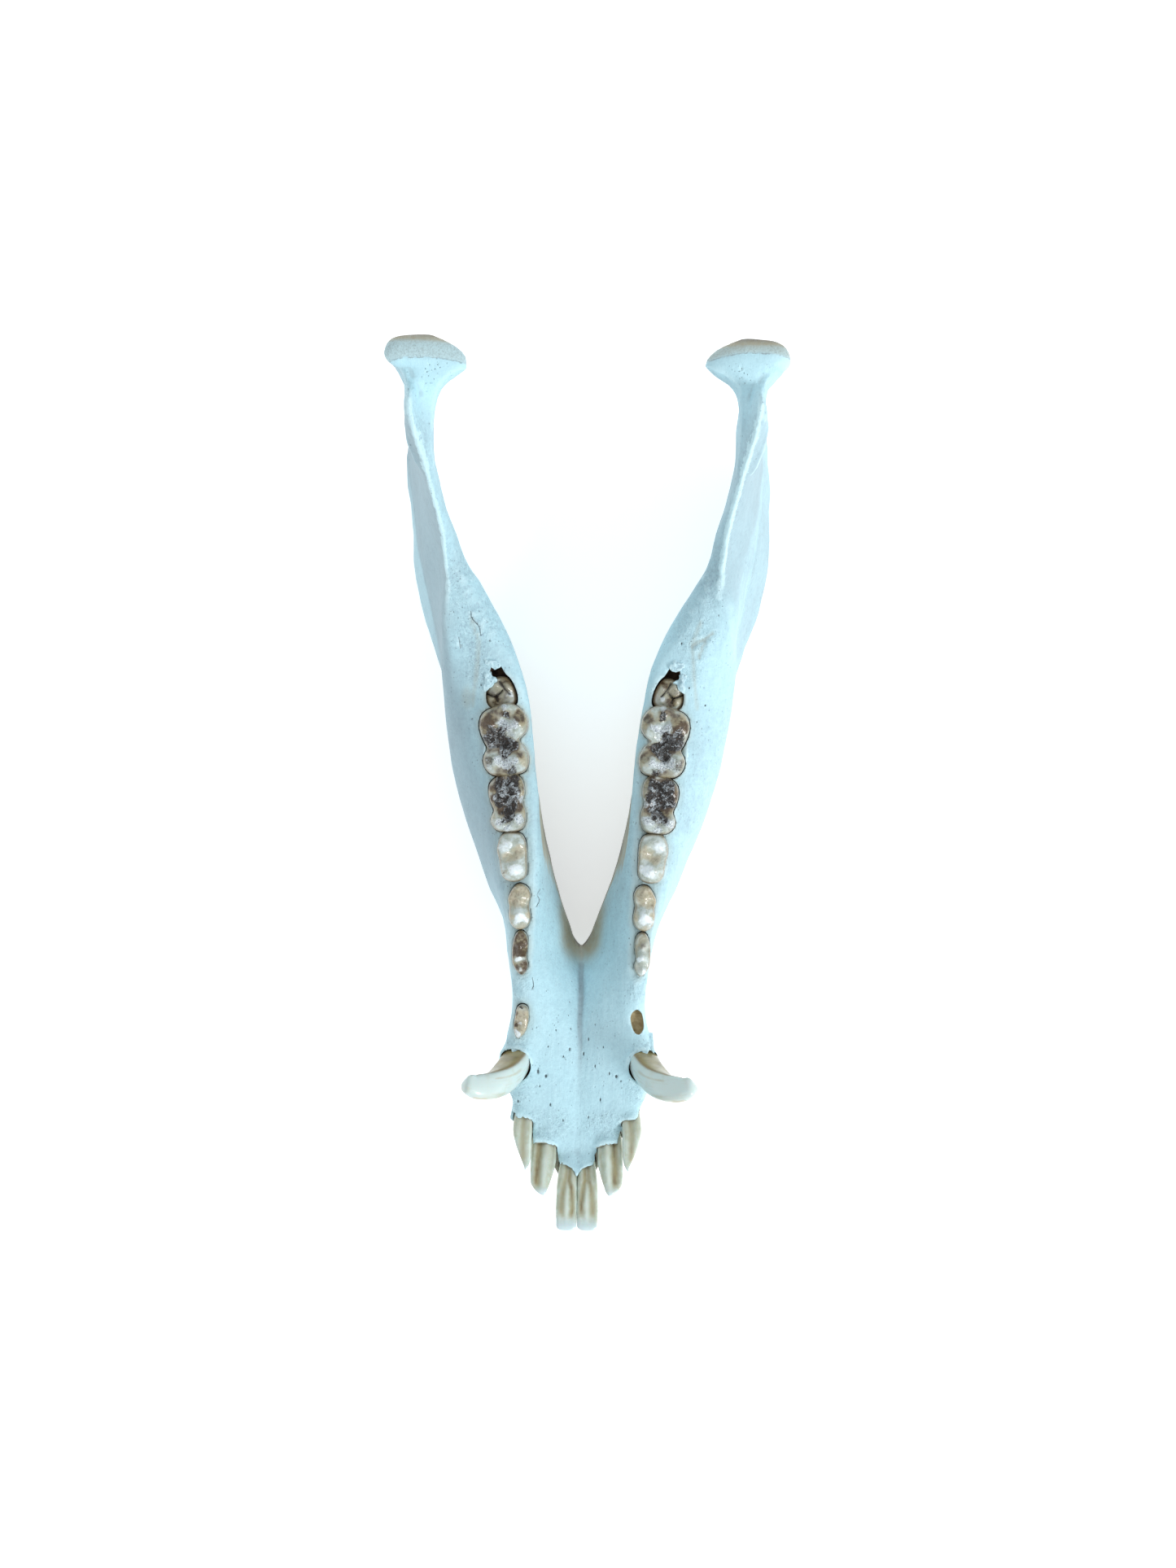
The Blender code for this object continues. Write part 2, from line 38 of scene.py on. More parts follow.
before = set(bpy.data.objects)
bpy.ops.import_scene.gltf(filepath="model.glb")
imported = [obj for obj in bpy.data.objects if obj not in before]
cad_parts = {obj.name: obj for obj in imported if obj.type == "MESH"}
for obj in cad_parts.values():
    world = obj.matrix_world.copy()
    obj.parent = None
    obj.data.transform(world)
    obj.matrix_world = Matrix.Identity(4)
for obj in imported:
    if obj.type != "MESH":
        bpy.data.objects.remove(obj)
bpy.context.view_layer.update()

# Sizes are in millimetres, and a station is a distance along the jaw from station zero.
MM = 0.001
STATION_ZERO = 5.45
SIDES = {"left": 1, "right": -1}
# The height of the cheek teeth's necks, and one above all of their crowns.
NECK_LEVEL = 44.6
CLEAR_OF_TEETH = 62
# The grain of the teeth and splinters, and how far apart points may lie that become one.
TOOTH_VOXEL = 0.2
WELD_REACH = 0.001

# Outlines of the cheek teeth from above, as (outwards, rearwards) from each one's middle.
PREMOLAR_1_OUTLINE = [
    (0.0, 5.0), (-1.7, 4.5), (-2.3, 2.6), (-2.2, -0.2), (-1.4, -3.1), (0.1, -4.8), (1.3, -5.3),
    (2.0, -3.4), (2.2, -1.2), (1.8, 1.7), (1.3, 4.1),
]
PREMOLAR_2_OUTLINE = [
    (0.2, 6.7), (-1.4, 6.0), (-2.3, 3.6), (-2.2, 0.7), (-1.9, -1.7), (-2.5, -3.4), (-2.1, -5.3),
    (-1.1, -6.5), (0.0, -6.7), (1.4, -5.0), (2.3, -3.1), (2.5, -0.2), (2.3, 2.6), (1.6, 5.5),
]
PREMOLAR_3_OUTLINE = [
    (-0.1, 6.9), (-2.3, 5.9), (-3.3, 3.3), (-2.8, 0.4), (-3.4, -3.0), (-2.9, -5.4), (-1.3, -6.7),
    (0.8, -6.9), (2.5, -5.4), (3.2, -3.0), (3.1, -0.1), (3.5, 2.3), (2.5, 4.9), (1.3, 6.4),
]
PREMOLAR_4_OUTLINE = [
    (2.8, 7.0), (0.0, 7.4), (-2.6, 6.9), (-3.9, 4.8), (-4.3, 2.2), (-4.4, -0.7), (-4.5, -3.6),
    (-4.0, -6.1), (-2.0, -7.4), (0.9, -7.5), (2.9, -6.2), (3.6, -3.6), (4.1, -0.7), (4.7, 1.9),
    (4.2, 4.8),
]
MOLAR_1_OUTLINE = [
    (0.9, 8.6), (-1.4, 9.0), (-3.4, 8.2), (-4.7, 6.0), (-5.0, 3.0), (-4.4, 0.5), (-5.3, -2.2),
    (-5.5, -4.8), (-4.9, -7.2), (-3.0, -8.5), (0.2, -8.9), (3.0, -8.4), (4.8, -6.6), (5.1, -4.6),
    (4.2, -2.4), (5.3, 0.3), (5.9, 3.0), (5.6, 5.6), (4.1, 7.3), (2.5, 8.3),
]
MOLAR_2_OUTLINE = [
    (-0.8, 11.2), (-4.0, 10.4), (-6.6, 7.6), (-7.3, 4.6), (-6.4, 1.9), (-4.7, 0.2), (-6.0, -1.2),
    (-7.5, -3.8), (-7.7, -6.8), (-6.8, -9.2), (-4.4, -10.2), (-1.8, -10.7), (1.2, -10.8),
    (3.4, -10.4), (5.3, -8.6), (6.1, -6.2), (5.7, -4.2), (4.7, -2.6), (5.6, -0.8), (6.8, 1.8),
    (7.3, 4.4), (6.8, 7.2), (5.0, 9.0), (2.0, 10.2),
]
MOLAR_3_OUTLINE = [
    (0.5, 4.7), (-1.7, 4.4), (-3.5, 1.9), (-4.4, -0.9), (-4.2, -2.9), (-2.3, -4.2), (0.9, -4.7),
    (2.5, -4.6), (3.9, -3.4), (4.3, -1.3), (4.1, 0.9), (3.2, 2.9), (1.9, 4.2),
]
CRYPT_OUTLINE = [
    (3.4, 6.0), (2.6, 8.0), (1.0, 8.3), (-0.2, 7.4), (-1.2, 5.6), (-2.7, 4.2), (-4.1, 1.9),
    (-5.0, -1.0), (-4.8, -3.4), (-2.4, -4.7), (1.0, -5.0), (2.7, -4.8), (4.1, -3.5), (4.5, -1.3),
    (4.3, 0.9), (3.5, 2.8), (2.9, 4.2),
]
LOST_PREMOLAR = (17.0, -71.0)
LOST_PREMOLAR_OUTLINE = [
    (-2.1, 0.8), (-1.7, 2.7), (-0.2, 3.9), (1.3, 2.8), (1.9, 0.5), (2.0, -2.1), (0.9, -3.9),
    (-0.4, -3.7), (-1.4, -2.1),
]

# The teeth, front to back: middle (x, station), outline, height of the crown over its neck,
# and its relief as bumps (outwards, rearwards, height, spread).
CHEEK_TEETH = {
    "premolar_1": {
        "middle": (17.6, -70.8), "outline": PREMOLAR_1_OUTLINE, "height": 4.2,
        "bumps": [(0.2, -3.2, 0.9, 1.2), (-0.2, 1.0, 1.0, 2.0), (1.5, -0.5, -1.2, 1.0)],
    },
    "premolar_2": {
        "middle": (18.1, -50.4), "outline": PREMOLAR_2_OUTLINE, "height": 5.4,
        "bumps": [
            (0.0, -0.8, 2.0, 1.5), (0.1, 2.4, 1.0, 1.3), (-0.1, -4.6, 0.9, 1.1),
            (-1.7, 1.5, -0.8, 1.0), (1.7, 1.6, -0.8, 1.0), (-1.6, -2.2, -0.6, 0.7),
        ],
    },
    "premolar_3": {
        "middle": (18.5, -36.6), "outline": PREMOLAR_3_OUTLINE, "height": 5.8,
        "bumps": [
            (0.1, -2.0, 2.0, 2.0), (-0.2, 3.2, 1.0, 1.5), (-2.0, 0.6, -0.8, 1.1),
            (2.0, 1.4, -0.8, 1.1), (0.5, 5.6, 0.5, 1.0), (1.3, -5.2, 0.4, 1.0),
        ],
    },
    "premolar_4": {
        "middle": (20.8, -21.8), "outline": PREMOLAR_4_OUTLINE, "height": 6.0,
        "bumps": [
            (0.3, -3.4, 1.9, 2.4), (-1.4, -4.6, 0.8, 1.4), (1.0, 3.8, 1.0, 1.9),
            (-2.0, 3.6, 0.8, 1.4), (0.0, 0.8, -1.0, 1.6), (2.6, -5.6, -0.6, 0.9),
        ],
    },
    "molar_1": {
        "middle": (22.4, -5.9), "outline": MOLAR_1_OUTLINE, "height": 6.0,
        "bumps": [
            (3.0, 3.8, 1.1, 1.9), (-2.7, 3.8, 1.2, 1.9), (2.7, -4.7, 1.3, 1.9),
            (-2.9, -4.8, 1.3, 1.9), (0.2, -0.6, -1.5, 2.0), (0.2, 6.2, -0.9, 1.6),
            (0.2, -5.2, -0.9, 1.3),
        ],
    },
    "molar_2": {
        "middle": (24.0, 12.7), "outline": MOLAR_2_OUTLINE, "height": 6.2,
        "bumps": [
            (3.6, 4.8, 1.9, 2.4), (-4.0, 4.9, 2.0, 2.3), (3.0, -5.9, 2.0, 2.3),
            (-4.2, -5.8, 2.1, 2.3), (-0.6, 9.2, 1.3, 1.5), (-0.3, 0.0, -1.6, 2.4),
            (-0.3, 5.4, -0.7, 1.2), (-0.3, -6.0, -0.7, 1.2), (-0.2, 2.6, 0.9, 1.2),
        ],
    },
    "molar_3": {
        "middle": (25.0, 27.0), "outline": MOLAR_3_OUTLINE, "height": 0.8,
        "bumps": [
            (1.9, 2.2, 1.4, 1.6), (-1.8, 1.6, 1.6, 1.9), (2.3, -2.0, 1.2, 1.5),
            (-1.7, -2.4, 1.2, 1.5),
        ],
    },
}

# Colour patches on the crowns, as (outwards, rearwards, radius, strength).
PATCHES = {
    "molar_2": {
        "stain": [
            (4.2, 5.4, 2.4, 0.97), (3.6, 2.6, 1.8, 0.9), (-5.2, 7.0, 2.2, 0.9),
            (0.6, -1.4, 2.8, 0.97), (-3.4, -2.2, 2.2, 0.97), (-6.4, 3.6, 1.2, 0.6),
            (-1.0, 7.6, 1.6, 0.95), (1.6, 8.8, 1.8, 0.8), (-6.0, -5.0, 1.5, 0.8),
            (5.2, -6.6, 1.6, 0.7), (0.0, -10.2, 3.0, 0.8), (-0.4, -4.6, 1.6, 0.9),
            (4.6, -3.0, 1.4, 0.7), (5.8, 4.0, 1.2, 0.8),
        ],
        "amber": [
            (6.4, 4.4, 1.6, 0.97), (5.6, 7.6, 1.4, 0.9), (-6.4, 5.4, 1.6, 0.95),
            (-5.0, 8.6, 1.4, 0.9), (-6.6, -6.6, 1.5, 0.9), (6.0, -5.0, 1.2, 0.8),
            (2.4, 6.4, 1.2, 0.9), (-5.0, -3.6, 1.2, 0.8), (0.0, 0.0, 4.0, 0.5),
        ],
        "soot": [
            (2.8, 0.2, 2.4, 1.0), (-1.0, 7.4, 1.1, 0.9), (-1.4, -1.6, 2.0, 0.9),
            (4.2, -6.8, 1.7, 0.5), (0.6, 1.6, 1.8, 0.6), (-2.8, -9.4, 1.6, 0.6),
            (-0.4, -4.0, 1.7, 0.9), (-3.6, -1.6, 1.3, 0.7), (3.8, 3.8, 1.0, 0.5),
        ],
        "enamel": [
            (-0.6, 3.4, 1.7, 1.0), (-3.4, 4.6, 1.5, 1.0), (0.9, 4.6, 1.3, 0.9),
            (-1.0, -7.0, 1.9, 1.0), (-4.0, -6.4, 1.4, 0.9), (1.8, -6.2, 1.5, 0.9),
            (-0.5, 9.8, 1.3, 0.8), (-2.4, 1.6, 1.1, 0.7), (3.4, -8.4, 1.0, 0.6),
        ],
    },
    "molar_1": {
        "stain": [
            (2.6, 6.6, 2.3, 0.97), (-2.0, 6.8, 2.3, 0.97), (4.6, 4.2, 1.7, 0.95),
            (-2.6, -0.8, 2.2, 0.9), (2.4, -1.6, 2.2, 0.95), (0.0, -3.8, 2.0, 0.97),
            (3.8, -6.6, 1.5, 0.5), (0.4, 2.8, 3.6, 0.97), (-4.6, 4.6, 1.2, 0.7),
            (4.4, 0.6, 1.4, 0.8), (-4.6, -6.8, 1.2, 0.5),
        ],
        "amber": [
            (5.2, 4.0, 1.4, 0.95), (-4.4, 6.4, 1.5, 0.9), (-4.6, 2.6, 1.3, 0.9),
            (5.0, -4.4, 1.2, 0.8), (-4.4, -3.0, 1.2, 0.8), (0.0, 0.0, 4.4, 0.5),
        ],
        "soot": [
            (0.6, 1.6, 2.8, 1.0), (2.6, 5.6, 2.0, 0.9), (-1.2, 6.2, 1.8, 0.9),
            (-0.6, -3.8, 1.6, 0.95), (2.8, 0.2, 1.8, 0.8), (1.4, -4.6, 1.3, 0.7),
            (-1.8, 3.0, 1.8, 0.7), (-2.0, -1.2, 1.3, 0.6),
        ],
        "enamel": [
            (1.6, 2.4, 1.3, 0.8), (-0.6, 1.4, 1.2, 0.7), (-4.2, 1.0, 1.4, 0.9),
            (-3.4, -5.0, 1.7, 1.0), (2.9, -5.6, 1.6, 0.9), (-0.6, -7.2, 1.3, 0.9),
            (0.4, 4.6, 0.9, 0.6),
        ],
    },
    "premolar_4": {
        "stain": [(2.6, -4.9, 0.9, 0.6)],
        "amber": [
            (1.2, 0.2, 1.9, 0.9), (-2.6, 2.0, 1.8, 0.9), (-0.6, 1.2, 1.5, 0.8),
            (0.2, 6.6, 1.0, 0.6), (-3.4, -4.0, 0.8, 0.5),
        ],
        "soot": [(2.9, -5.0, 0.5, 0.8)],
        "enamel": [(-0.6, -3.8, 2.2, 0.9), (1.8, 3.8, 2.2, 0.8), (-2.4, -3.4, 1.6, 0.8)],
    },
    "premolar_3": {
        "stain": [(1.2, 4.6, 0.8, 0.6), (-0.6, 3.0, 0.7, 0.5)],
        "amber": [
            (1.7, 1.4, 2.0, 0.97), (-1.6, 3.4, 1.9, 0.97), (-2.6, -2.6, 1.4, 0.95),
            (0.0, 5.4, 2.4, 0.97), (1.8, 3.8, 1.6, 0.95), (-1.2, 1.0, 1.3, 0.9),
            (2.6, -2.6, 1.2, 0.9), (-0.6, -6.0, 1.6, 0.8), (2.4, -5.0, 1.0, 0.7),
        ],
        "soot": [(0.2, 5.0, 0.5, 0.3)],
        "enamel": [(0.2, -3.0, 1.7, 1.0), (1.6, -4.8, 1.0, 0.6), (0.0, -0.4, 1.0, 0.5)],
    },
    "premolar_2": {
        "stain": [
            (0.4, 4.4, 2.0, 0.7), (-1.2, 2.0, 1.5, 0.6), (1.2, 1.4, 1.3, 0.5),
            (-1.4, -3.4, 1.2, 0.5), (1.4, -3.0, 1.0, 0.4),
        ],
        "soot": [(0.2, 3.6, 0.9, 0.3)],
        "enamel": [(0.0, -1.2, 1.1, 1.0), (0.0, -4.4, 0.9, 0.9), (0.1, 0.8, 0.7, 0.6)],
    },
    "premolar_2_right": {
        "stain": [
            (0.2, 4.2, 3.6, 0.97), (-1.4, 1.2, 2.2, 0.97), (1.5, 0.8, 2.0, 0.97),
            (-1.6, -3.6, 1.8, 0.9), (1.8, -3.4, 1.6, 0.9), (0.0, -6.2, 1.4, 0.9),
        ],
        "soot": [(0.2, 3.6, 1.2, 0.4), (-1.4, 5.0, 0.8, 0.5), (0.9, -2.6, 0.7, 0.4)],
        "enamel": [(0.1, -1.6, 1.0, 0.97), (-0.2, -4.4, 0.8, 0.7), (0.1, 1.2, 0.5, 0.4)],
    },
    "premolar_1": {
        "stain": [(1.4, -1.2, 1.2, 0.9), (1.6, 2.6, 0.9, 0.8)],
        "amber": [(-0.2, 1.6, 3.2, 0.97), (0.0, -1.6, 2.0, 0.95), (-1.0, -3.4, 1.2, 0.8)],
        "soot": [(0.3, 4.8, 0.7, 1.0), (1.9, 0.2, 0.6, 0.8), (1.8, -1.8, 0.5, 0.6)],
        "enamel": [(0.3, -3.6, 0.9, 1.0), (0.2, -0.2, 0.7, 0.7), (-0.9, 2.4, 0.7, 0.5)],
    },
    "molar_3": {
        "stain": [(0.0, 0.0, 5.0, 0.7), (0.6, -2.6, 1.4, 0.8), (-0.8, 3.6, 1.4, 0.7)],
        "amber": [(2.6, -2.0, 2.0, 0.8), (-1.0, 2.8, 2.0, 0.7)],
        "enamel": [(-2.6, -1.4, 1.2, 0.8), (-0.4, -1.4, 0.9, 0.5), (1.6, 1.4, 1.0, 0.4)],
    },
}

# The molars whose worn crowns are folded and black, with a wider gap round them, and how far
# the patches of each kind spread there.
FOLDED_MOLARS = ("molar_1", "molar_2")
PATCH_SPREADS = {"stain": 1.08, "soot": 1.05, "enamel": 1.0, "amber": 1.0}
# Dark, thin clefts between the cusps of the last molar, as lines of (outwards, rearwards).
CLEFTS = [
    [(0.7, 3.2), (-0.4, 1.6), (-1.4, 0.4), (-2.4, -0.6)],
    [(4.4, -0.3), (2.8, -0.9), (1.4, -1.3), (0.9, -2.6)],
    [(1.4, -1.3), (0.6, -0.4), (-0.4, 0.6)],
]

# Front teeth as sweeps: (x, station, z, width, thickness) from the root to the tip.
INCISORS = {
    "incisor_1": {
        "path": [
            (2.6, -105, 35.2, 4.6, 3.6), (2.55, -110, 38.9, 5.0, 4.4),
            (2.7, -114.5, 42.0, 5.4, 4.6), (3.04, -120, 45.6, 6.1, 4.0),
            (3.12, -126, 49.2, 6.26, 3.0), (3.04, -131.7, 52.4, 5.9, 1.6),
        ],
        "across": (1, 0, 0), "tip": 0.95, "squareness": 2.4, "shift": -0.25,
    },
    "incisor_2": {
        "path": [
            (8.9, -97, 33.6, 4.6, 3.6), (9.5, -102, 37.4, 6.2, 4.6), (9.9, -107, 41, 7.2, 4.6),
            (10.0, -112, 44.2, 7.6, 4.0), (10.0, -117, 47.4, 7.5, 3.0),
            (9.8, -121.8, 50.4, 6.8, 1.5),
        ],
        "across": (1, 0.12, 0), "tip": 0.94, "squareness": 2.0, "shift": -0.5,
        "point": (0.86, 0.62, -0.05),
    },
    "incisor_3": {
        "path": [
            (14.8, -92, 35.5, 3.8, 3.2), (15.8, -96.5, 38.9, 5.0, 3.8),
            (16.2, -100.5, 41.4, 5.6, 3.9), (16.4, -105, 43.9, 5.8, 3.4),
            (16.2, -110, 46.3, 5.2, 2.4), (15.6, -115, 48.4, 3.8, 1.2),
        ],
        "across": (1, 0.25, 0), "tip": 0.92, "squareness": 2.0, "shift": -0.5,
        "point": (0.55, 0.85, -0.4),
    },
}
# Grooves in the front teeth: place and width in half widths, depth, drift, brown stain.
GROOVES = {
    "incisor_1": [(-0.54, 0.34, 0.22, 0.0, 0.95), (0.5, 0.4, 0.22, 0.0, 0.85)],
    "incisor_2": [(0.42, 0.36, 0.45, 0.3, 1.0), (-0.62, 0.2, 0.3, 0.3, 0.45)],
    "incisor_3": [(0.0, 0.5, 0.3, 0.1, 0.75)],
}
# How far along each incisor the bone reaches, and how thick it is there.
COLLARS = {"incisor_1": (0.53, 0.75), "incisor_2": (0.5, 0.85), "incisor_3": (0.45, 0.8)}
# Their pale ridge (place, width, drift), where the stain ends and where the clear tip starts.
INCISOR_MARKS = {
    "incisor_1": ((0.0, 0.2, 0.0), 0.95, 0.88),
    "incisor_2": ((-0.08, 0.2, 0.5), 0.98, 0.93),
    "incisor_3": ((-0.8, 0.1, 0.0), 0.97, 0.93),
}
# Bone that fills the neck of each joint, as sweeps: its flat front, and the root of the crest.
NECK = [
    {
        "path": [
            (43.0, 114.5, 94.6, 23.0, 7.0), (43.8, 111.5, 94.0, 19.0, 7.0),
            (45.0, 109.0, 93.0, 14.6, 7.0), (45.6, 106.5, 91.6, 11.6, 7.0),
            (45.9, 103.0, 90.4, 9.2, 7.0), (45.9, 98.5, 89.2, 8.0, 6.0),
            (45.8, 93.5, 87.6, 6.4, 5.0), (45.0, 86.0, 82.0, 5.0, 4.0),
        ],
        "across": (1, 0, 0), "tip": 0.9, "squareness": 4.0,
    },
    {
        "path": [
            (49.6, 114.5, 94.2, 6.4, 6.0), (49.0, 111.0, 94.0, 6.0, 6.0),
            (48.6, 108.0, 94.4, 5.2, 6.0), (48.3, 105.0, 96.4, 4.0, 6.0),
            (48.0, 101.5, 99.4, 3.0, 6.0), (47.4, 97.5, 99.0, 2.4, 5.0),
        ],
        "across": (1, 0, 0), "tip": 0.9, "squareness": 2.0,
    },
]
# Thin points of bone that the voxels can't hold, as sweeps.
CHIPS = {
    "tusk_rim": [
        [(19.0, -74.5, 41.0, 4.0, 1.8), (19.4, -78.4, 43.2, 3.2, 1.4),
         (19.9, -81.4, 44.6, 0.6, 0.4)],
        [(17.6, -75.0, 41.4, 3.2, 1.8), (17.5, -78.2, 43.4, 2.0, 1.2),
         (17.4, -80.2, 44.6, 0.5, 0.4)],
        [(20.4, -75.0, 40.4, 3.2, 1.8), (21.4, -78.2, 42.4, 1.8, 1.2),
         (22.3, -80.6, 43.6, 0.5, 0.4)],
    ],
    "crypt_rim": [
        [(29.6, 37.6, 47.0, 2.2, 1.8), (28.2, 36.2, 48.2, 3.6, 2.0),
         (26.4, 34.9, 48.2, 3.0, 1.5), (25.2, 34.2, 47.6, 1.6, 1.0)],
        [(29.6, 33.6, 46.8, 1.6, 1.6), (28.9, 32.2, 47.2, 2.8, 1.8),
         (29.0, 30.6, 47.1, 2.0, 1.8), (28.7, 29.4, 47.0, 3.0, 1.8),
         (29.4, 28.2, 46.8, 2.0, 1.6), (29.8, 27.0, 46.4, 1.2, 1.2)],
        [(28.2, 31.2, 46.9, 1.4, 1.2), (27.0, 30.6, 47.0, 1.7, 1.3),
         (26.1, 30.3, 46.6, 1.0, 0.9)],
    ],
}
# Where the bone ends over the front teeth, from the right side's outer edge to the left's.
FRONT_EDGE = [
    (-24, -97.6), (-19.2, -98.9), (-18.9, -99.7), (-17.8, -100.6), (-16.9, -99.8),
    (-15.5, -100.6), (-14.5, -101.9), (-13.9, -103.7), (-13.7, -105.9), (-13.5, -107.9),
    (-12.9, -107.4), (-11.8, -107.9), (-10.9, -107.7), (-10.1, -108.2), (-8.0, -108.2),
    (-6.9, -109.1), (-6.3, -110.7), (-5.9, -112.8), (-5.4, -113.9), (-5.0, -113.4),
    (-4.6, -113.8), (-3.6, -113.9), (-1.9, -114.8), (-1.1, -115.8), (-0.5, -117.6),
    (0.0, -116.3), (1.1, -114.9), (2.7, -114.2), (4.4, -113.9), (4.9, -112.7), (4.8, -111.3),
    (5.6, -110.1), (6.9, -108.6), (8.3, -107.6), (9.2, -107.9), (10.2, -107.6), (11.5, -107.9),
    (11.8, -106.1), (12.4, -104.2), (13.2, -102.7), (14.4, -101.7), (15.2, -101.5),
    (15.5, -101.2), (16.2, -101.5), (16.9, -101.2), (17.7, -100.8), (18.2, -100.0), (24, -98.6),
    (24, -142), (-24, -142),
]
TUSK = {
    "path": [
        (15.4, -76, 28, 7.4, 7.4), (17.2, -80.4, 35, 8.8, 8.6), (19.4, -84.4, 42.5, 9.6, 9.2),
        (22.6, -87.4, 49.8, 9.0, 8.8), (26.4, -88.8, 55.8, 7.8, 7.8),
        (30.2, -88.6, 60.2, 6.8, 6.2), (33.4, -87.2, 62.6, 4.4, 4.0),
    ],
    "across": (0, 1, 0), "tip": 0.94, "squareness": 2.8,
}


# Helpers for making and measuring meshes.


def xyz(x, station, z):
    """A place on the jaw, given in millimetres, in the frame that all pieces share."""
    return Vector((x, station + STATION_ZERO, z)) * MM


def activate(obj):
    """Selects one object alone, in object mode."""
    if bpy.context.mode != "OBJECT":
        bpy.ops.object.mode_set(mode="OBJECT")
    bpy.ops.object.select_all(action="DESELECT")
    obj.select_set(True)
    bpy.context.view_layer.objects.active = obj


def apply_modifier(obj, kind, **settings):
    """Adds a modifier to an object and makes what it shows the object's own mesh."""
    activate(obj)
    modifier = obj.modifiers.new(kind.lower(), kind)
    for key, value in settings.items():
        setattr(modifier, key, value)
    bpy.ops.object.modifier_apply(modifier=modifier.name)


def edit(obj):
    """Opens an object in edit mode with all of its mesh selected."""
    activate(obj)
    bpy.ops.object.mode_set(mode="EDIT")
    bpy.ops.mesh.select_all(action="SELECT")


def named(obj, name):
    """Gives an object and its data one name."""
    obj.name = name
    obj.data.name = name
    return obj


def join(parts):
    """Makes several objects one, the first of them."""
    activate(parts[0])
    for part in parts:
        part.select_set(True)
    bpy.ops.object.join()
    return parts[0]


def face_outwards():
    """Turns all faces of the mesh in edit mode outwards, and leaves edit mode."""
    bpy.ops.mesh.select_all(action="SELECT")
    bpy.ops.mesh.normals_make_consistent(inside=False)
    bpy.ops.object.mode_set(mode="OBJECT")


def cut(target, cutters):
    """Takes closed bodies out of the target and removes them."""
    group = bpy.data.collections.new("cutters")
    bpy.context.scene.collection.children.link(group)
    for cutter in cutters:
        for home in cutter.users_collection:
            home.objects.unlink(cutter)
        group.objects.link(cutter)
    apply_modifier(
        target, "BOOLEAN", operation="DIFFERENCE", solver="MANIFOLD",
        operand_type="COLLECTION", collection=group,
    )
    for cutter in cutters:
        bpy.data.objects.remove(cutter)
    bpy.data.collections.remove(group)


def fade(values, start, end):
    """A smooth step from 0 at start to 1 at end."""
    t = np.clip((values - start) / (end - start), 0, 1)
    return t * t * (3 - 2 * t)


def band(values, start, full, less, end):
    """1 from full to less, and smoothly down to 0 at start and at end."""
    return fade(values, start, full) * fade(values, end, less)


def scatter(*cells):
    """A fixed jumble of numbers from 0 to 1, one for each cell."""
    mixed = np.sin(sum(c * f for c, f in zip(cells, (127.1, 311.7, 74.7, 19.3)))) * 43758.5453
    return mixed - np.floor(mixed)


def waves(points, size, seed):
    """Smooth noise from -1 to 1 with hills of that size, at points in millimetres."""
    scaled = points / size + seed * 17.31
    base = np.floor(scaled)
    t = scaled - base
    t = t * t * (3 - 2 * t)
    total = np.zeros(len(points))
    for corner in np.ndindex(2, 2, 2):
        share = np.prod(np.where(corner, t, 1 - t), axis=1)
        total += share * scatter(*(base + corner).T)
    return 2 * total - 1


def crystals(points, size, seed):
    """For points on a plane with many scattered seeds: how much further than the nearest seed
    the second one is, and a number that each seed's own cell shares."""
    scaled = points / size + seed * 9.7
    base = np.floor(scaled)
    near = np.full(len(points), 9.0)
    second = near.copy()
    mark = near.copy()
    for step in np.ndindex(3, 3):
        cell = base + np.array(step) - 1
        spot = cell + np.stack([scatter(*cell.T, 3), scatter(*cell.T, 7)], axis=1)
        gap = np.hypot(*(scaled - spot).T)
        nearer = gap < near
        second = np.where(nearer, near, np.minimum(second, gap))
        mark = np.where(nearer, scatter(*cell.T, 11), mark)
        near = np.where(nearer, gap, near)
    return second - near, mark


def smooth_loop(points, per_span):
    """A smooth closed line through points, with per_span points for each of them."""
    here = np.array(points, float)
    before, after, later = (np.roll(here, shift, axis=0) for shift in (1, -1, -2))
    spans = [
        0.5 * (
            2 * here + (after - before) * t + (2 * before - 5 * here + 4 * after - later) * t**2
            + (3 * here - before - 3 * after + later) * t**3
        )
        for t in np.arange(per_span) / per_span
    ]
    return np.stack(spans, axis=1).reshape(-1, 2)


def along(knots, at):
    """Values that smooth curves through evenly spaced rows of knots have at shares of them.
    Past the first and the last row they run straight on."""
    rows = np.array(knots, float)
    slopes = np.gradient(rows, axis=0)
    spans = len(rows) - 1
    place = np.clip(at, 0, 1) * spans
    past = ((at - np.clip(at, 0, 1)) * spans)[:, None]
    i = np.minimum(place.astype(int), spans - 1)
    t = (place - i)[:, None]
    return (
        (2 * t**3 - 3 * t**2 + 1) * rows[i] + (t**3 - 2 * t**2 + t) * slopes[i]
        + (3 * t**2 - 2 * t**3) * rows[i + 1] + (t**3 - t**2) * slopes[i + 1]
        + past * np.where(past > 0, slopes[-1], slopes[0])
    )


def distance_to_line(points, line):
    """How far points (x, station) lie from a bent line."""
    nearest = np.full(len(points), 1e3)
    spots = np.array(line, float)
    for start, end in zip(spots, spots[1:]):
        run = end - start
        t = np.clip((points - start) @ run / (run @ run), 0, 1)
        nearest = np.minimum(nearest, np.hypot(*(points - start - t[:, None] * run).T))
    return nearest


def looked_up(rows, at, *columns):
    """What columns of a table say at places along its first one."""
    table = np.array(rows, float)
    return [np.interp(at, table[:, 0], table[:, column]) for column in columns]


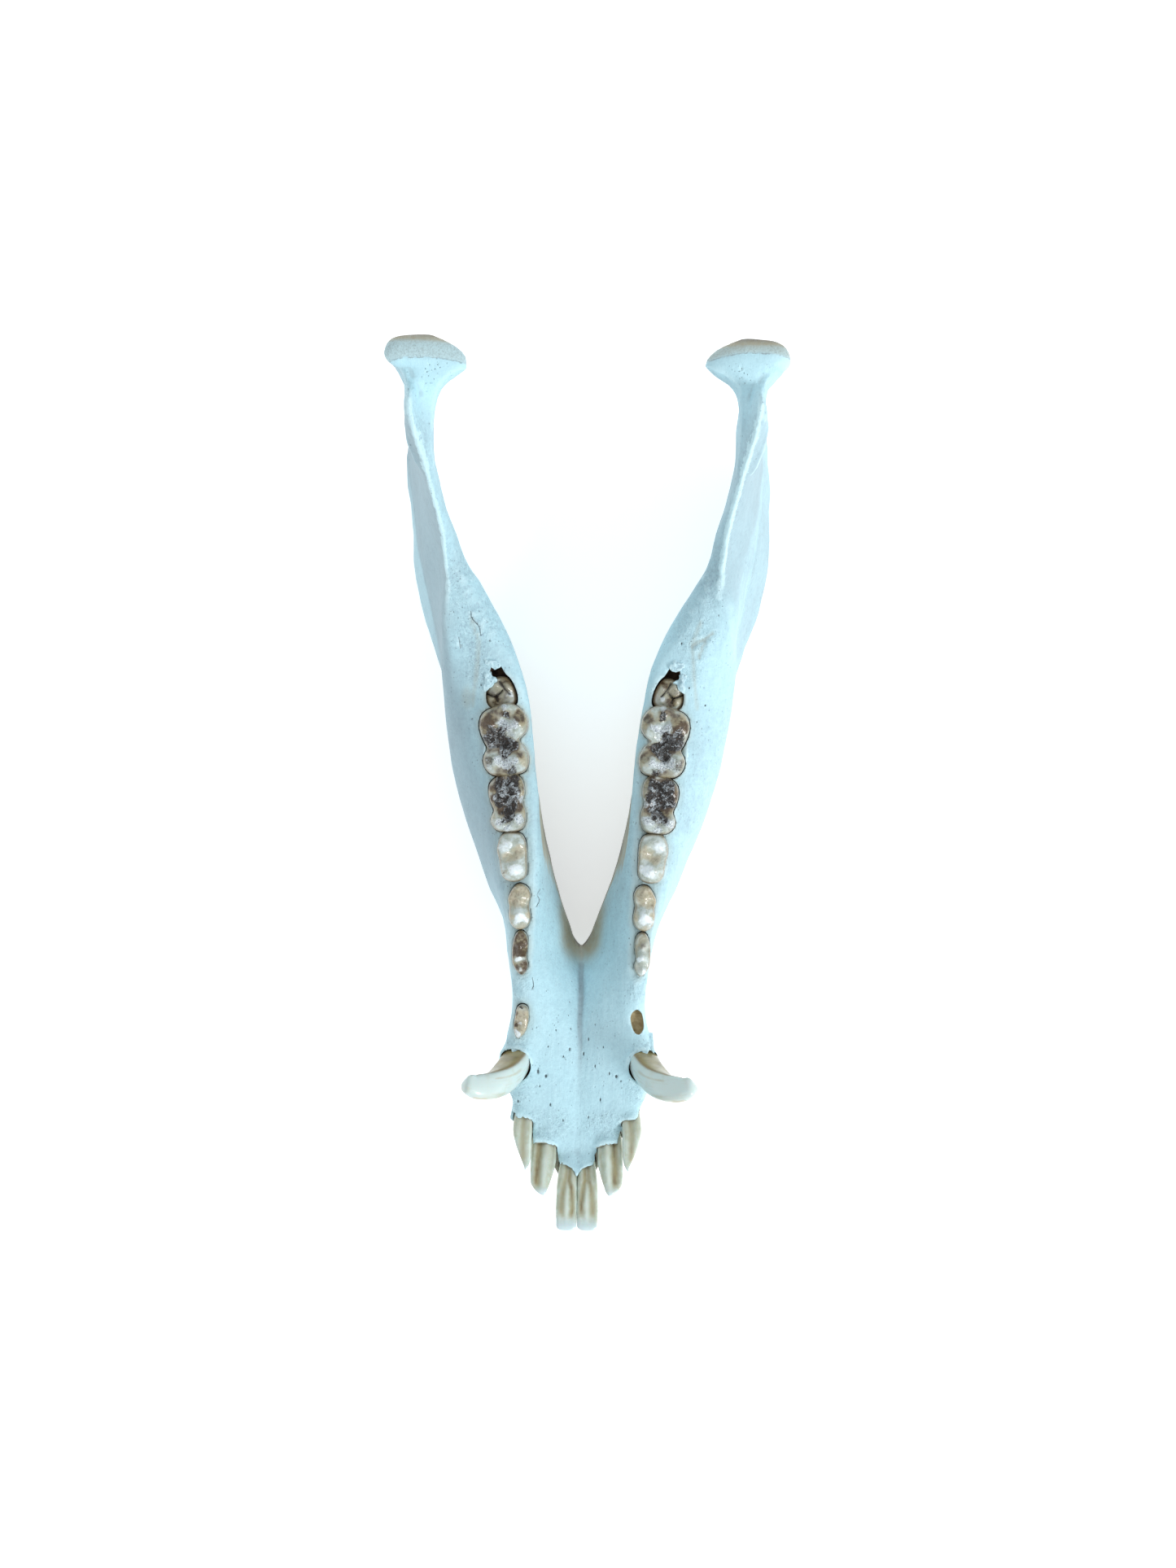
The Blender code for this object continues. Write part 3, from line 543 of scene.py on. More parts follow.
class Outline:
    """A closed line round a tooth or a pit, on one side of the jaw."""

    def __init__(self, points, middle, side):
        self.side = side
        self.middle = np.array((side * middle[0], middle[1]), float)
        line = smooth_loop(points, 8)
        line[:, 0] *= side
        self.turns = np.arctan2(line[:, 1], line[:, 0])
        self.reach = np.hypot(*line.T)
        order = np.argsort(self.turns)
        self.turns, self.reach = self.turns[order], self.reach[order]

    def loop(self, count, grow):
        """Points round the line, evenly turned and grown outwards."""
        turns = np.linspace(-math.pi, math.pi, count, endpoint=False)
        reach = np.interp(turns, self.turns, self.reach, period=math.tau) + grow
        return self.middle + np.stack([np.cos(turns), np.sin(turns)], axis=1) * reach[:, None]

    def outside(self, points):
        """How far points (x, station) lie outside the line, or below 0 inside it."""
        across, station = (points[:, :2] - self.middle).T
        turn = np.arctan2(station, across)
        return np.hypot(across, station) - np.interp(turn, self.turns, self.reach, period=math.tau)

    def local(self, points):
        """Points as (outwards, rearwards) from the middle."""
        return (points[:, :2] - self.middle) * (self.side, 1)


class Surface:
    """A mesh's points in millimetres, to be moved, painted and written back."""

    def __init__(self, obj):
        self.mesh = obj.data
        flat = np.empty(len(self.mesh.vertices) * 3, np.float32)
        self.mesh.vertices.foreach_get("co", flat)
        self.points = flat.reshape(-1, 3).astype(float) / MM - (0, STATION_ZERO, 0)
        self.mesh.vertices.foreach_get("normal", flat)
        self.normals = flat.reshape(-1, 3).astype(float)

    def write(self):
        """Puts the moved points back into the mesh."""
        placed = (self.points + (0, STATION_ZERO, 0)) * MM
        self.mesh.vertices.foreach_set("co", placed.astype(np.float32).ravel())
        self.mesh.update()

    def paint(self, name, values):
        """Keeps one number for each point, for materials to read."""
        layer = self.mesh.attributes.new(name, "FLOAT", "POINT")
        layer.data.foreach_set("value", np.clip(values, 0, 1).astype(np.float32))


class Sweep:
    """A path of (x, station, z, width, thickness) on one side, with its own directions."""

    def __init__(self, spec, side):
        rows = np.array(spec["path"], float)
        rows[:, 0] = side * rows[:, 0] + spec.get("shift", 0.0)
        self.rows = rows
        self.side = side
        self.across = np.array(spec["across"], float) * (side, 1, 1)
        self.tip = spec["tip"]
        self.squareness = spec["squareness"]

    def place(self, share, right, over):
        """Points at shares of the path, right and over it in half widths."""
        here = along(self.rows, share)
        ahead = along(self.rows, share + 0.01)[:, :3] - along(self.rows, share - 0.01)[:, :3]
        ahead /= np.linalg.norm(ahead, axis=1)[:, None]
        across = self.across - ahead * (ahead @ self.across)[:, None]
        across /= np.linalg.norm(across, axis=1)[:, None]
        up = np.cross(across, ahead) * self.side
        up *= np.sign(up[:, 2:3])
        return (
            here[:, :3] + across * (right * here[:, 3] / 2)[:, None]
            + up * (over * here[:, 4] / 2)[:, None]
        )


def tube(name, sweep, around, lengthwise, section, grow=0.0, start=0.0, reach=1.0, blunt=False):
    """Bends a grid round a sweep into a closed body. The section function gives how far right
    and over each point lies, from its turn and its share of the path. A blunt body keeps its
    full size up to its end, where others are rounded off."""
    bpy.ops.mesh.primitive_grid_add(x_subdivisions=around, y_subdivisions=lengthwise, size=2)
    obj = named(bpy.context.object, name)
    surface = Surface(obj)
    grid = (surface.points + (0, STATION_ZERO, 0)) * MM
    turn = (grid[:, 0] + 1) * math.pi
    share = (grid[:, 1] + 1) / 2
    # The first and last rows close the ends, and the rows by the tip lie closer together.
    share = np.clip(share * (1 + 2 / lengthwise) - 1 / lengthwise, 0, 1)
    share = 1 - (1 - share) ** 1.25
    path_share = start + (reach - start) * share
    right, over = section(turn, path_share)
    beyond = np.clip((share - sweep.tip) / (1 - sweep.tip), 0, 1)
    cap = (1 - beyond**sweep.squareness) ** (1 / sweep.squareness)
    ends = np.abs(grid[:, 1]) < 1 - 1e-6
    size = ends if blunt else cap * ends
    half = along(sweep.rows, path_share)[:, 3:5] / 2
    right = right * (1 + grow / half[:, 0]) * size
    over = over * (1 + grow / half[:, 1]) * size
    surface.points = sweep.place(path_share, right, over)
    surface.write()
    edit(obj)
    bpy.ops.mesh.remove_doubles(threshold=2 * WELD_REACH * MM)
    face_outwards()
    return obj


def stack(name, outline, levels, count, grow=0.0):
    """Extrudes a filled outline up through levels of (z, share of the outline)."""
    bpy.ops.mesh.primitive_circle_add(vertices=count, radius=MM, fill_type="NGON")
    obj = named(bpy.context.object, name)
    z, share = levels[0]
    centre = xyz(*outline.middle, 0)
    for vert, (x, station) in zip(obj.data.vertices, outline.loop(count, grow)):
        vert.co = centre + (xyz(x, station, 0) - centre) * share
        vert.co.z = z * MM
    edit(obj)
    for next_z, next_share in levels[1:]:
        bpy.ops.mesh.extrude_region_move(
            TRANSFORM_OT_translate={"value": (0, 0, (next_z - z) * MM)}
        )
        size = next_share / share
        bpy.ops.transform.resize(value=(size, size, 1), center_override=centre)
        z, share = next_z, next_share
    bpy.ops.mesh.poke()
    face_outwards()
    return obj


def prism(name, line, low, high):
    """A flat body with straight walls over a closed line of (x, station)."""
    bpy.ops.mesh.primitive_circle_add(vertices=len(line), radius=MM, fill_type="NGON")
    obj = named(bpy.context.object, name)
    for vert, (x, station) in zip(obj.data.vertices, line):
        vert.co = xyz(x, station, low)
    edit(obj)
    bpy.ops.mesh.extrude_region_move(TRANSFORM_OT_translate={"value": (0, 0, (high - low) * MM)})
    face_outwards()
    return obj


def shaded(obj, material):
    """Gives a piece its material and finishes it."""
    obj.data.materials.clear()
    obj.data.materials.append(material)
    return finished(obj)


def finished(obj):
    """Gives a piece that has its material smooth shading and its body."""
    activate(obj)
    bpy.ops.object.shade_smooth()
    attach(obj, "root")
    return obj


# The materials.


class Field:
    """A number that varies over a surface, and that Python's operators combine."""

    def __init__(self, finish, socket):
        self.finish = finish
        self.socket = socket

    def math(self, operation, *values):
        """Adds one Math node."""
        return self.finish.node("Math", {"operation": operation}, dict(enumerate(values)), 0)

    def __add__(self, other):
        return self.math("ADD", self, other)

    def __sub__(self, other):
        return self.math("SUBTRACT", self, other)

    def __rsub__(self, other):
        return self.math("SUBTRACT", other, self)

    def __mul__(self, other):
        return self.math("MULTIPLY", self, other)

    __radd__ = __add__
    __rmul__ = __mul__

    def step(self, low, high):
        """A smooth step from 0 at low to 1 at high."""
        return self.finish.node(
            "MapRange", {"interpolation_type": "SMOOTHSTEP"},
            {"Value": self, "From Min": low, "From Max": high}, "Result",
        )


class Finish:
    """A material in the making: its nodes, and short ways to add those used most."""

    def __init__(self, name, slot_colour):
        self.material = bpy.data.materials.new(name)
        self.material.use_nodes = True
        self.material.diffuse_color = (*slot_colour, 1)
        self.tree = self.material.node_tree
        self.shader = self.tree.nodes["Principled BSDF"]
        self.place = self.node("TexCoord", {}, {}, "Object")

    def node(self, kind, settings, values, output):
        """Adds a node, sets it up, then fills or links its sockets."""
        made = self.tree.nodes.new("ShaderNode" + kind)
        for key, value in settings.items():
            setattr(made, key, value)
        for key, value in values.items():
            self.feed(made.inputs[key], value)
        return Field(self, made.outputs[output])

    def feed(self, socket, value):
        """Links a varying value to a socket, or sets the socket to a constant one."""
        if isinstance(value, Field):
            self.tree.links.new(value.socket, socket)
        else:
            socket.default_value = value

    def masks(self, *names):
        """Numbers that the mesh keeps at its points."""
        return [self.node("Attribute", {"attribute_name": name}, {}, "Fac") for name in names]

    def stretched(self, across, lengthwise, upright):
        """Object coordinates drawn out along the axes, in millimetres for each unit."""
        size = (1 / (across * MM), 1 / (lengthwise * MM), 1 / (upright * MM))
        return self.node("Mapping", {}, {"Vector": self.place, "Scale": size}, "Vector")

    def noise(self, size, detail, roughness=0.55, warp=0.0):
        """Noise with hills of that size in millimetres, or of three sizes along the axes."""
        sizes = size if isinstance(size, tuple) else (size, size, size)
        return self.node(
            "TexNoise", {},
            {
                "Vector": self.stretched(*sizes), "Scale": 1.0, "Detail": detail,
                "Roughness": roughness, "Distortion": warp,
            },
            "Fac",
        )

    def cells(self, sizes):
        """The distance to the nearest of scattered seeds, with cells of those three sizes."""
        values = {"Vector": self.stretched(*sizes), "Scale": 1.0}
        return self.node("TexVoronoi", {}, values, "Distance")

    def mix(self, first, second, factor):
        """One colour laid over another by a factor."""
        return self.node("Mix", {"data_type": "RGBA"}, {0: factor, 6: first, 7: second}, 2)

    def coats(self, colour, *layers):
        """A colour under layers of (colour, factor), the last one on top."""
        for over, factor in layers:
            colour = self.mix(colour, over, factor)
        return colour

    def bumps(self, *layers):
        """Reliefs one over another, as (field, height in millimetres, strength)."""
        under = {}
        for field, height, strength in layers:
            values = {"Height": field, "Distance": height * MM, "Strength": strength, **under}
            under = {"Normal": self.node("Bump", {}, values, "Normal")}
        return under["Normal"]

    def surface(self, **values):
        """Sets or links the sockets of the shader."""
        for key, value in values.items():
            self.feed(self.shader.inputs[key.replace("_", " ")], value)
        return self.material


def tint(red, green, blue):
    """A colour as seen, from 0 to 255, as the linear colour that shaders use."""
    seen = [c / 255 for c in (red, green, blue)]
    linear = [c / 12.92 if c <= 0.04045 else ((c + 0.055) / 1.055) ** 2.4 for c in seen]
    return (*linear, 1.0)


def rgba(colour):
    """A colour of three numbers, with its alpha."""
    return (*colour, 1.0)


def bone_material(settings):
    """Bleached bone: pale, finely streaked and pored, brown in its hollows from stains and painted
    shade, greyed by painted shade and lightened by painted highlight in places.
    """
    made = Finish("bleached_bone", settings.colour)
    stain, grit, shade, joint = made.masks("stain", "grit", "shade", "joint")
    edge, crest, pale = made.masks("edge", "crest", "pale")
    cloud = made.noise(14, 4).step(0.35, 0.7)
    streak = made.noise((1.1, 10, 2.6), 4, 0.6)
    mottle = made.noise(1.8, 4, 0.65)
    grain = made.noise(0.9, 3, 0.7)
    sand = made.noise(0.55, 3, 0.8)
    speck = made.cells((0.9, 1.4, 0.9)).step(0.24, 0.1) * made.noise(3.2, 2).step(0.48, 0.62)
    # worn: the crest's pale, worn bone, which is also painted highlight on its upward faces.
    worn = crest + 0.8 * (mottle - 0.5) + 0.5 * (grain - 0.5)
    granular = made.mix(tint(192, 222, 229), tint(152, 170, 173), sand.step(0.4, 0.75) * 0.75)
    brink = joint + 0.7 * (mottle - 0.5)
    # line: a painted shadow along the rim of each joint's cap.
    line = brink.step(0.3, 0.42) * brink.step(0.58, 0.46)
    # tan: the brown of stains, and of painted shade in the notch and on the inner walls.
    tan = made.mix(tint(176, 168, 142), tint(112, 92, 68), stain.step(0.45, 1.0))
    colour = made.coats(
        rgba(settings.colour),
        (rgba(settings.cool_colour), cloud * 0.6),
        (tint(198, 230, 240), streak.step(0.48, 0.7) * 0.3),
        (tint(144, 174, 190), streak.step(0.46, 0.3) * 0.2),
        (tint(134, 164, 182), mottle.step(0.5, 0.75) * (0.4 + 0.15 * grit)),
        (tint(144, 168, 188), grain.step(0.5, 0.34) * (0.3 + 0.2 * grit)),
        (tint(206, 240, 250), grain.step(0.54, 0.7) * (0.4 + 0.5 * grit)),
        # Painted shade, and greyer bone along the seam and in faint patches.
        (rgba(settings.shade_colour), shade),
        # Convex edges paler: worn rims, and painted highlight.
        (tint(212, 242, 250), edge.step(0.56, 0.74) * 0.7),
        # Paler ground, and painted highlight.
        (tint(196, 238, 250), pale),
        (tint(210, 243, 251), worn.step(0.4, 0.62) * 0.75),
        # Painted shade in concave hollows.
        (tint(140, 160, 168), edge.step(0.44, 0.28) * 0.35),
        (tint(116, 136, 146), speck * (0.55 - 0.35 * pale)),
        (granular, brink.step(0.45, 0.6)),
        # Painted shadow along the rim of each joint's cap.
        (tint(128, 138, 140), line * mottle.step(0.4, 0.55) * 0.6),
        (tan, stain.step(0.0, 0.5) * (0.55 + 0.6 * mottle)),
    )
    relief = made.bumps(
        (streak, 0.3, 0.5),
        (mottle * (0.5 + 0.9 * grit - 0.7 * joint), 0.5, 0.65),
        (grain * (0.5 + 0.7 * grit - 0.7 * joint), 0.3, 0.6),
        (sand * (0.2 + 0.9 * grit), 0.22, 0.7),
        (speck * -1.0, 0.25, 0.6),
    )
    return made.surface(
        Base_Color=colour, Roughness=0.42 + 0.25 * mottle, Normal=relief,
        Specular_IOR_Level=0.35,
    )


def lining_material():
    """The walls of sockets and pits: olive brown, and painted darker as shade where they are deep,
    in all but the lost premolar's open socket; pits and cracks greyer.
    """
    made = Finish("socket_lining", tint(90, 72, 54)[:3])
    deep, pit = made.masks("deep", "pit")
    cloud = made.noise(1.6, 3, 0.6)
    pale = made.mix(tint(176, 164, 128), tint(140, 124, 90), cloud.step(0.35, 0.7))
    dark = made.mix(tint(104, 84, 64), tint(58, 44, 34), cloud.step(0.35, 0.65))
    # deep: painted shade, dark brown in every socket but the lost premolar's open one.
    colour = made.coats(pale, (dark, deep), (tint(124, 142, 150), pit))
    return made.surface(Base_Color=colour, Roughness=0.7)


def enamel_material(settings):
    """Cheek tooth enamel: translucent cream with brown and black stain and white folds."""
    made = Finish("stained_enamel", settings.enamel_colour)
    stain, soot, folds, amber = made.masks("stain", "soot", "enamel", "amber")
    rim, cleft, crystal, flecks = made.masks("rim", "cleft", "crystal", "flecks")
    cloud = made.noise(2.2, 3, 0.6)
    fine = made.noise(0.9, 3, 0.7)
    fleck = made.noise(0.5, 4, 0.75, 0.1)
    gold = made.mix(tint(188, 174, 138), tint(142, 112, 68), (amber * fine).step(0.4, 0.64))
    brown = made.mix(tint(158, 142, 102), tint(80, 62, 40), (cloud * stain).step(0.22, 0.5))
    white = made.mix(tint(234, 245, 250), tint(128, 138, 150), fleck.step(0.52, 0.6) * flecks)
    grains = (0.4 * crystal + 0.9 * fleck).step(0.64, 0.74)
    bright = grains * flecks * (0.25 + 0.9 * folds + 0.7 * cloud.step(0.45, 0.6))
    black = made.coats(
        tint(30, 24, 20),
        (tint(198, 209, 215), bright),
        (tint(84, 62, 42), fine.step(0.52, 0.68) * 0.6),
    )
    ragged = soot * (0.3 + 0.8 * fine + 0.7 * fleck)
    crack = (soot + folds * 0.6 + stain * 0.4).step(0.3, 1.0) * fleck.step(0.46, 0.36) * flecks
    colour = made.coats(
        rgba(settings.enamel_colour),
        (tint(200, 213, 212), cloud.step(0.4, 0.65)),
        (tint(128, 104, 64), rim * (0.25 + 0.9 * cloud)),
        (gold, (amber * (0.5 + cloud)).step(0.3, 1.2) * 0.75),
        (brown, (stain * (0.5 + cloud)).step(0.3, 1.0)),
        (white, (folds * (0.6 + 0.8 * fine)).step(0.45, 1.0)),
        (black, ragged.step(0.4, 0.62)),
        (tint(40, 31, 27), crack * 0.9),
        (tint(34, 26, 20), cleft),
    )
    relief = made.bumps(
        (fine, 0.16, 0.6),
        (crystal, 0.25, 0.6),
        (fleck * (soot + folds * 0.8) * flecks, 0.7, 0.9),
    )
    return made.surface(
        Base_Color=colour, Roughness=0.14 + 0.3 * cloud, Normal=relief, Coat_Weight=0.5,
        Coat_Roughness=0.1, Subsurface_Weight=0.12, Subsurface_Scale=0.002,
        Subsurface_Radius=(1.0, 0.8, 0.6),
    )


def incisor_material(settings):
    """Front teeth: olive dentine in their grooves, pale ridges, clear bluish tips."""
    made = Finish("grooved_incisor", settings.enamel_colour)
    stain, ridge, clear = made.masks("stain", "ridge", "clear")
    streak = made.noise((1.1, 8, 6), 3, 0.5)
    fine = made.noise(0.45, 3, 0.6)
    cloud = made.noise(2.4, 3, 0.6)
    brown = made.mix(tint(158, 148, 108), tint(124, 106, 70), (streak * stain).step(0.35, 0.65))
    colour = made.coats(
        tint(184, 195, 176),
        (tint(202, 217, 208), cloud.step(0.35, 0.65)),
        (tint(170, 166, 132), streak.step(0.5, 0.75) * 0.2),
        (tint(216, 230, 220), ridge * 0.9),
        (brown, (stain * (0.6 + 0.8 * cloud)).step(0.05, 1.2)),
        (tint(204, 226, 230), clear),
    )
    return made.surface(
        Base_Color=colour, Roughness=0.2 + 0.25 * streak,
        Normal=made.bumps((streak, 0.14, 0.5), (fine, 0.08, 0.4)), Coat_Weight=0.35,
        Coat_Roughness=0.15, Subsurface_Weight=0.1, Subsurface_Scale=0.002,
    )


def tusk_material(settings):
    """Tusk: creamy polished enamel in front, olive dentine behind."""
    made = Finish("tusk_ivory", settings.tusk_colour)
    back, line, stain = made.masks("back", "line", "stain")
    streak = made.noise((5, 1.2, 5), 3, 0.5)
    cloud = made.noise(4.5, 3, 0.6)
    rear = made.mix(rgba(settings.dentine_colour), tint(132, 120, 84), streak.step(0.35, 0.75))
    colour = made.coats(
        rgba(settings.tusk_colour),
        (tint(190, 200, 184), cloud.step(0.5, 0.75) * 0.5),
        (tint(176, 166, 130), stain),
        (rear, back),
        (tint(136, 112, 70), line * 0.75),
    )
    return made.surface(
        Base_Color=colour, Roughness=0.22 + 0.2 * cloud, Normal=made.bumps((streak, 0.1, 0.5)),
        Coat_Weight=0.3, Coat_Roughness=0.2, Subsurface_Weight=0.1, Subsurface_Scale=0.003,
    )


def floor_material(colour):
    """The floor: matt, and with a faint light of its own that keeps the shadows pale."""
    made = Finish("studio_floor", colour)
    tone = made.mix(rgba(colour), rgba(c * 0.985 for c in colour), made.noise(60, 2))
    return made.surface(
        Base_Color=tone, Roughness=0.9, Specular_IOR_Level=0.1,
        Emission_Color=(0.97, 0.99, 1.0, 1.0), Emission_Strength=0.44,
    )


# The bone.

# How high the bone reaches round each kind of cheek tooth, apart from the last, whose foot
# stands in an open crypt.
BONE_LEVEL = {
    "premolar_1": 43.9, "premolar_2": 44.0, "premolar_3": 44.0, "premolar_4": 44.1,
    "molar_1": 44.6, "molar_2": 45.2,
}
BURIED_FOOT = 38.5
# Bodies that fill the bone and then open it again, as levels of (z, share of their outline).
CRYPT_FILLING = [(35, 1), (46.2, 1), (46.8, 0.7)]
CRYPT_OPENING = [(40.5, 0.86), (43.5, 1), (60, 1)]
LOST_FILLING = [(35, 1), (43.6, 1), (44.1, 0.8)]
LOST_OPENING = [(41.6, 0.8), (42.4, 0.95), (CLEAR_OF_TEETH, 1)]
# Vessel holes on top of the chin: x, station, half width, half length, depth.
CHIN_HOLES = [
    (-3.3, -66, 0.22, 0.43, 0.8), (-3.6, -69.9, 0.19, 0.31, 0.64), (-7.3, -74.1, 0.19, 0.31, 0.64),
    (-2.9, -73.8, 0.25, 0.31, 0.8), (-3.1, -79.9, 0.28, 0.68, 0.8), (2.5, -76.9, 0.22, 0.62, 0.8),
    (1.1, -81.3, 0.25, 0.62, 0.8), (-12.5, -86.4, 0.28, 0.74, 0.8), (-10.1, -87.8, 0.37, 0.5, 0.8),
    (11, -87.6, 0.37, 0.5, 0.8), (8.9, -86.8, 0.19, 0.5, 0.64), (-18.4, -95.6, 0.31, 0.56, 0.8),
    (6.3, -94.7, 0.19, 0.56, 0.8), (4.6, -84.8, 0.19, 0.5, 0.64), (2.8, -100, 0.19, 0.37, 0.56),
    (-8.7, -96.4, 0.19, 0.5, 0.56), (-11.9, -90.8, 0.16, 0.37, 0.56), (-5, -82, 0.16, 0.31, 0.48),
    (-0.4, -112, 0.19, 0.25, 0.56), (12.4, -89, 0.16, 0.31, 0.48), (-4.8, -101, 0.19, 0.31, 0.48),
    (4.4, -72.4, 0.16, 0.37, 0.48), (7, -79, 0.16, 0.31, 0.48), (-9.6, -79, 0.16, 0.31, 0.48),
]
# Small pits elsewhere on the bone, which both sides have.
SIDE_HOLES = [
    (42.5, 110.8, 0.1, 0.14, 0.4), (41.0, 110.0, 0.1, 0.18, 0.4), (43.4, 109.4, 0.1, 0.14, 0.4),
    (41.9, 108.6, 0.12, 0.18, 0.4), (44.2, 111.2, 0.1, 0.12, 0.4), (40.2, 111.6, 0.1, 0.12, 0.4),
    (42.9, 107.6, 0.1, 0.14, 0.4), (40.9, 112.3, 0.1, 0.12, 0.4), (44.6, 108.4, 0.1, 0.12, 0.4),
    (41.6, 111.2, 0.1, 0.14, 0.4), (43.0, 112.2, 0.1, 0.14, 0.4), (43.8, 110.4, 0.1, 0.12, 0.4),
    (36, 24, 0.25, 0.31, 0.72), (33.6, 19, 0.19, 0.25, 0.56), (31, 29, 0.22, 0.31, 0.64),
    (39, 50, 0.19, 0.31, 0.48), (14.2, -46, 0.16, 0.43, 0.48), (35.2, 9, 0.19, 0.31, 0.48),
    (13.2, -26, 0.16, 0.56, 0.48), (35, -6, 0.19, 0.56, 0.56), (28.4, 42, 0.22, 0.31, 0.56),
]
# How far the bone's edges lie from the even halves of the solid: station, then the shifts
# in x of the right side's outer and inner edge and of the left side's inner and outer edge.
SETTLING = [
    (-102, -0.5, 0.0, 0.0, -0.7), (-90, -0.4, 0.0, 0.0, -0.3), (-80, 0.0, 0.0, 0.0, -0.8),
    (-71, 0.0, 0.0, 0.0, -1.2), (-62, 0.0, 0.0, 0.0, -1.0), (-52, -1.0, 0.0, 0.0, -0.2),
    (-42, -0.5, 0.0, 0.0, 0.7), (-33, -1.2, 0.7, -0.2, 1.4), (-23, -0.5, 1.2, -0.2, 1.0),
    (-14, -0.2, 1.0, 0.0, 1.0), (-4, 0.2, 1.0, 0.0, 0.7), (6, 0.2, -0.2, 0.7, 1.2),
    (15, 0.5, -0.5, 1.2, 1.2), (25, 0.7, -0.2, 1.2, 1.4), (35, 1.0, 0.5, -0.2, 1.4),
    (44, 1.7, 1.7, -1.2, 0.5), (54, 1.7, 2.8, -2.2, 1.0), (60, 1.8, 3.3, -2.3, 0.9),
    (70, 1.6, 1.7, -1.3, 1.1), (79, 2.0, 0.5, -0.4, 0.9), (88, 1.4, 0.2, -0.2, 0.2),
    (94, 0.3, -0.5, 0.0, 0.6), (103, -0.2, -0.3, -0.8, -0.3), (112, 0.7, -0.7, -1.3, -0.2),
    (120, 0.4, 0.0, -1.6, -1.0),
]
# The same for the outer edges of the joint heads and necks alone, outwards on both sides.
HEAD_EDGES = [
    (84, 0.0, 0.0), (90, 0.9, 0.8), (94, 1.1, 1.1), (98.5, 0.7, 1.2), (101.5, 0.0, 0.5),
    (105, -0.65, -0.5), (108.8, -1.1, -1.3), (112.8, 0.0, -0.3), (116, 1.5, 0.3),
]
# How far forward the inner end of each joint head reaches: distance from the middle, station.
HEAD_FRONT = [
    (30, 115.4), (32, 113.6), (34, 112.0), (36, 111.0), (38, 109.8), (39.5, 108.3),
    (40.5, 107.0), (41.3, 105.2), (42.0, 102.4), (42.4, 98.0),
]
# The left crest leans in by so much.
CREST_LEAN = 2.0
# The sharp front crest of the rising branch, as (outwards, station).
CREST_LINE = [
    (49.9, 109.3), (48.0, 103.5), (45.6, 90.1), (42.8, 76.6), (41.4, 64.1), (40.4, 52.3),
    (39.8, 38.1), (39.4, 26.3),
]
# The crease on the outer face of each rising branch: station, then how far out it lies on the
# left and on the right side.
FLANGE = [
    (40, 44.6, 45.2), (47, 46.2, 46.7), (55, 48.7, 48.3), (62, 49.6, 50.0), (66, 50.1, 50.8),
    (73.5, 51.4, 52.8), (76.5, 51.8, 53.3), (86.4, 53.2, 54.6), (97, 53.5, 56.0),
]
# Hairline cracks.
CRACKS = [
    [(-12.6, -31.6), (-13.4, -33.4), (-12.8, -35.0), (-13.8, -37.2)],
    [(-35.4, 53.0), (-34.0, 50.6), (-33.6, 48.4), (-31.6, 46.0), (-31.0, 43.4)],
    [(-37.6, 43.0), (-37.2, 39.6)],
    [(-14.6, -58.0), (-14.2, -60.4), (-14.8, -62.0)],
]
# Shallow scars, stained in their depth.
SCARS = [
    [(31.4, 41.0), (33.4, 42.6), (35.4, 43.4), (37.8, 45.2)],
    [(35.6, 42.9), (34.4, 40.6), (33.7, 37.8)],
]
# Stained furrows beside the last molars, on both sides.
FURROW = [(33.8, 48), (31.6, 42), (32.4, 32), (33.6, 23)]
# A tan spot beside the right one's front end: x, station, reach across, reach along.
TAN_SPOT = (-35.2, 25.5, 2.6, 5)
# The line that the halves of the chin grew together on.
SUTURE = [
    (0.0, -56.0), (0.2, -64.0), (-0.2, -72.0), (0.2, -80.0), (-0.2, -88.0), (0.1, -97.0),
    (-0.2, -106.0), (0.0, -114.0),
]
# Rough ground: (x, station, reach across, reach along), on both sides.
ROUGH_GROUND = [
    (18.0, -61.0, 3.6, 4.6), (18.8, -78.6, 3.8, 3.0), (18.6, -92.0, 4.6, 7.0),
    (32.0, 46.0, 7.0, 10.0), (10.0, -103.0, 9.0, 5.0),
    (31.0, 34.0, 5.0, 6.0), (37.0, 58.0, 4.5, 9.0),
]


def standing_teeth():
    """The cheek teeth that the jaw still has: kind, name of the side, outline."""
    return [
        (kind, side_name, Outline(tooth["outline"], tooth["middle"], side))
        for kind, tooth in CHEEK_TEETH.items() for side_name, side in SIDES.items()
        if (kind, side_name) != ("premolar_1", "left")
    ]


def lost_premolar():
    """The outline of the empty socket."""
    return Outline(LOST_PREMOLAR_OUTLINE, LOST_PREMOLAR, 1)


def crypt(side):
    """The outline of the opening round a last molar."""
    return Outline(CRYPT_OUTLINE, CHEEK_TEETH["molar_3"]["middle"], side)


def oval_section(squareness):
    """A section for tubes: a rounded square that fills the half widths."""
    power = 2 / squareness

    def section(turn, share):
        c, s = np.cos(turn), np.sin(turn)
        return np.sign(c) * np.abs(c) ** power, np.sign(s) * np.abs(s) ** power

    return section


def solid_jaw():
    """A copy of the CAD jaw with its faces joined."""
    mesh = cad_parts["mandible"].data.copy()
    bone = bpy.data.objects.new("jaw_bone", mesh)
    bpy.context.scene.collection.objects.link(bone)
    edit(bone)
    bpy.ops.mesh.remove_doubles(threshold=WELD_REACH * MM)
    bpy.ops.object.mode_set(mode="OBJECT")
    return bone


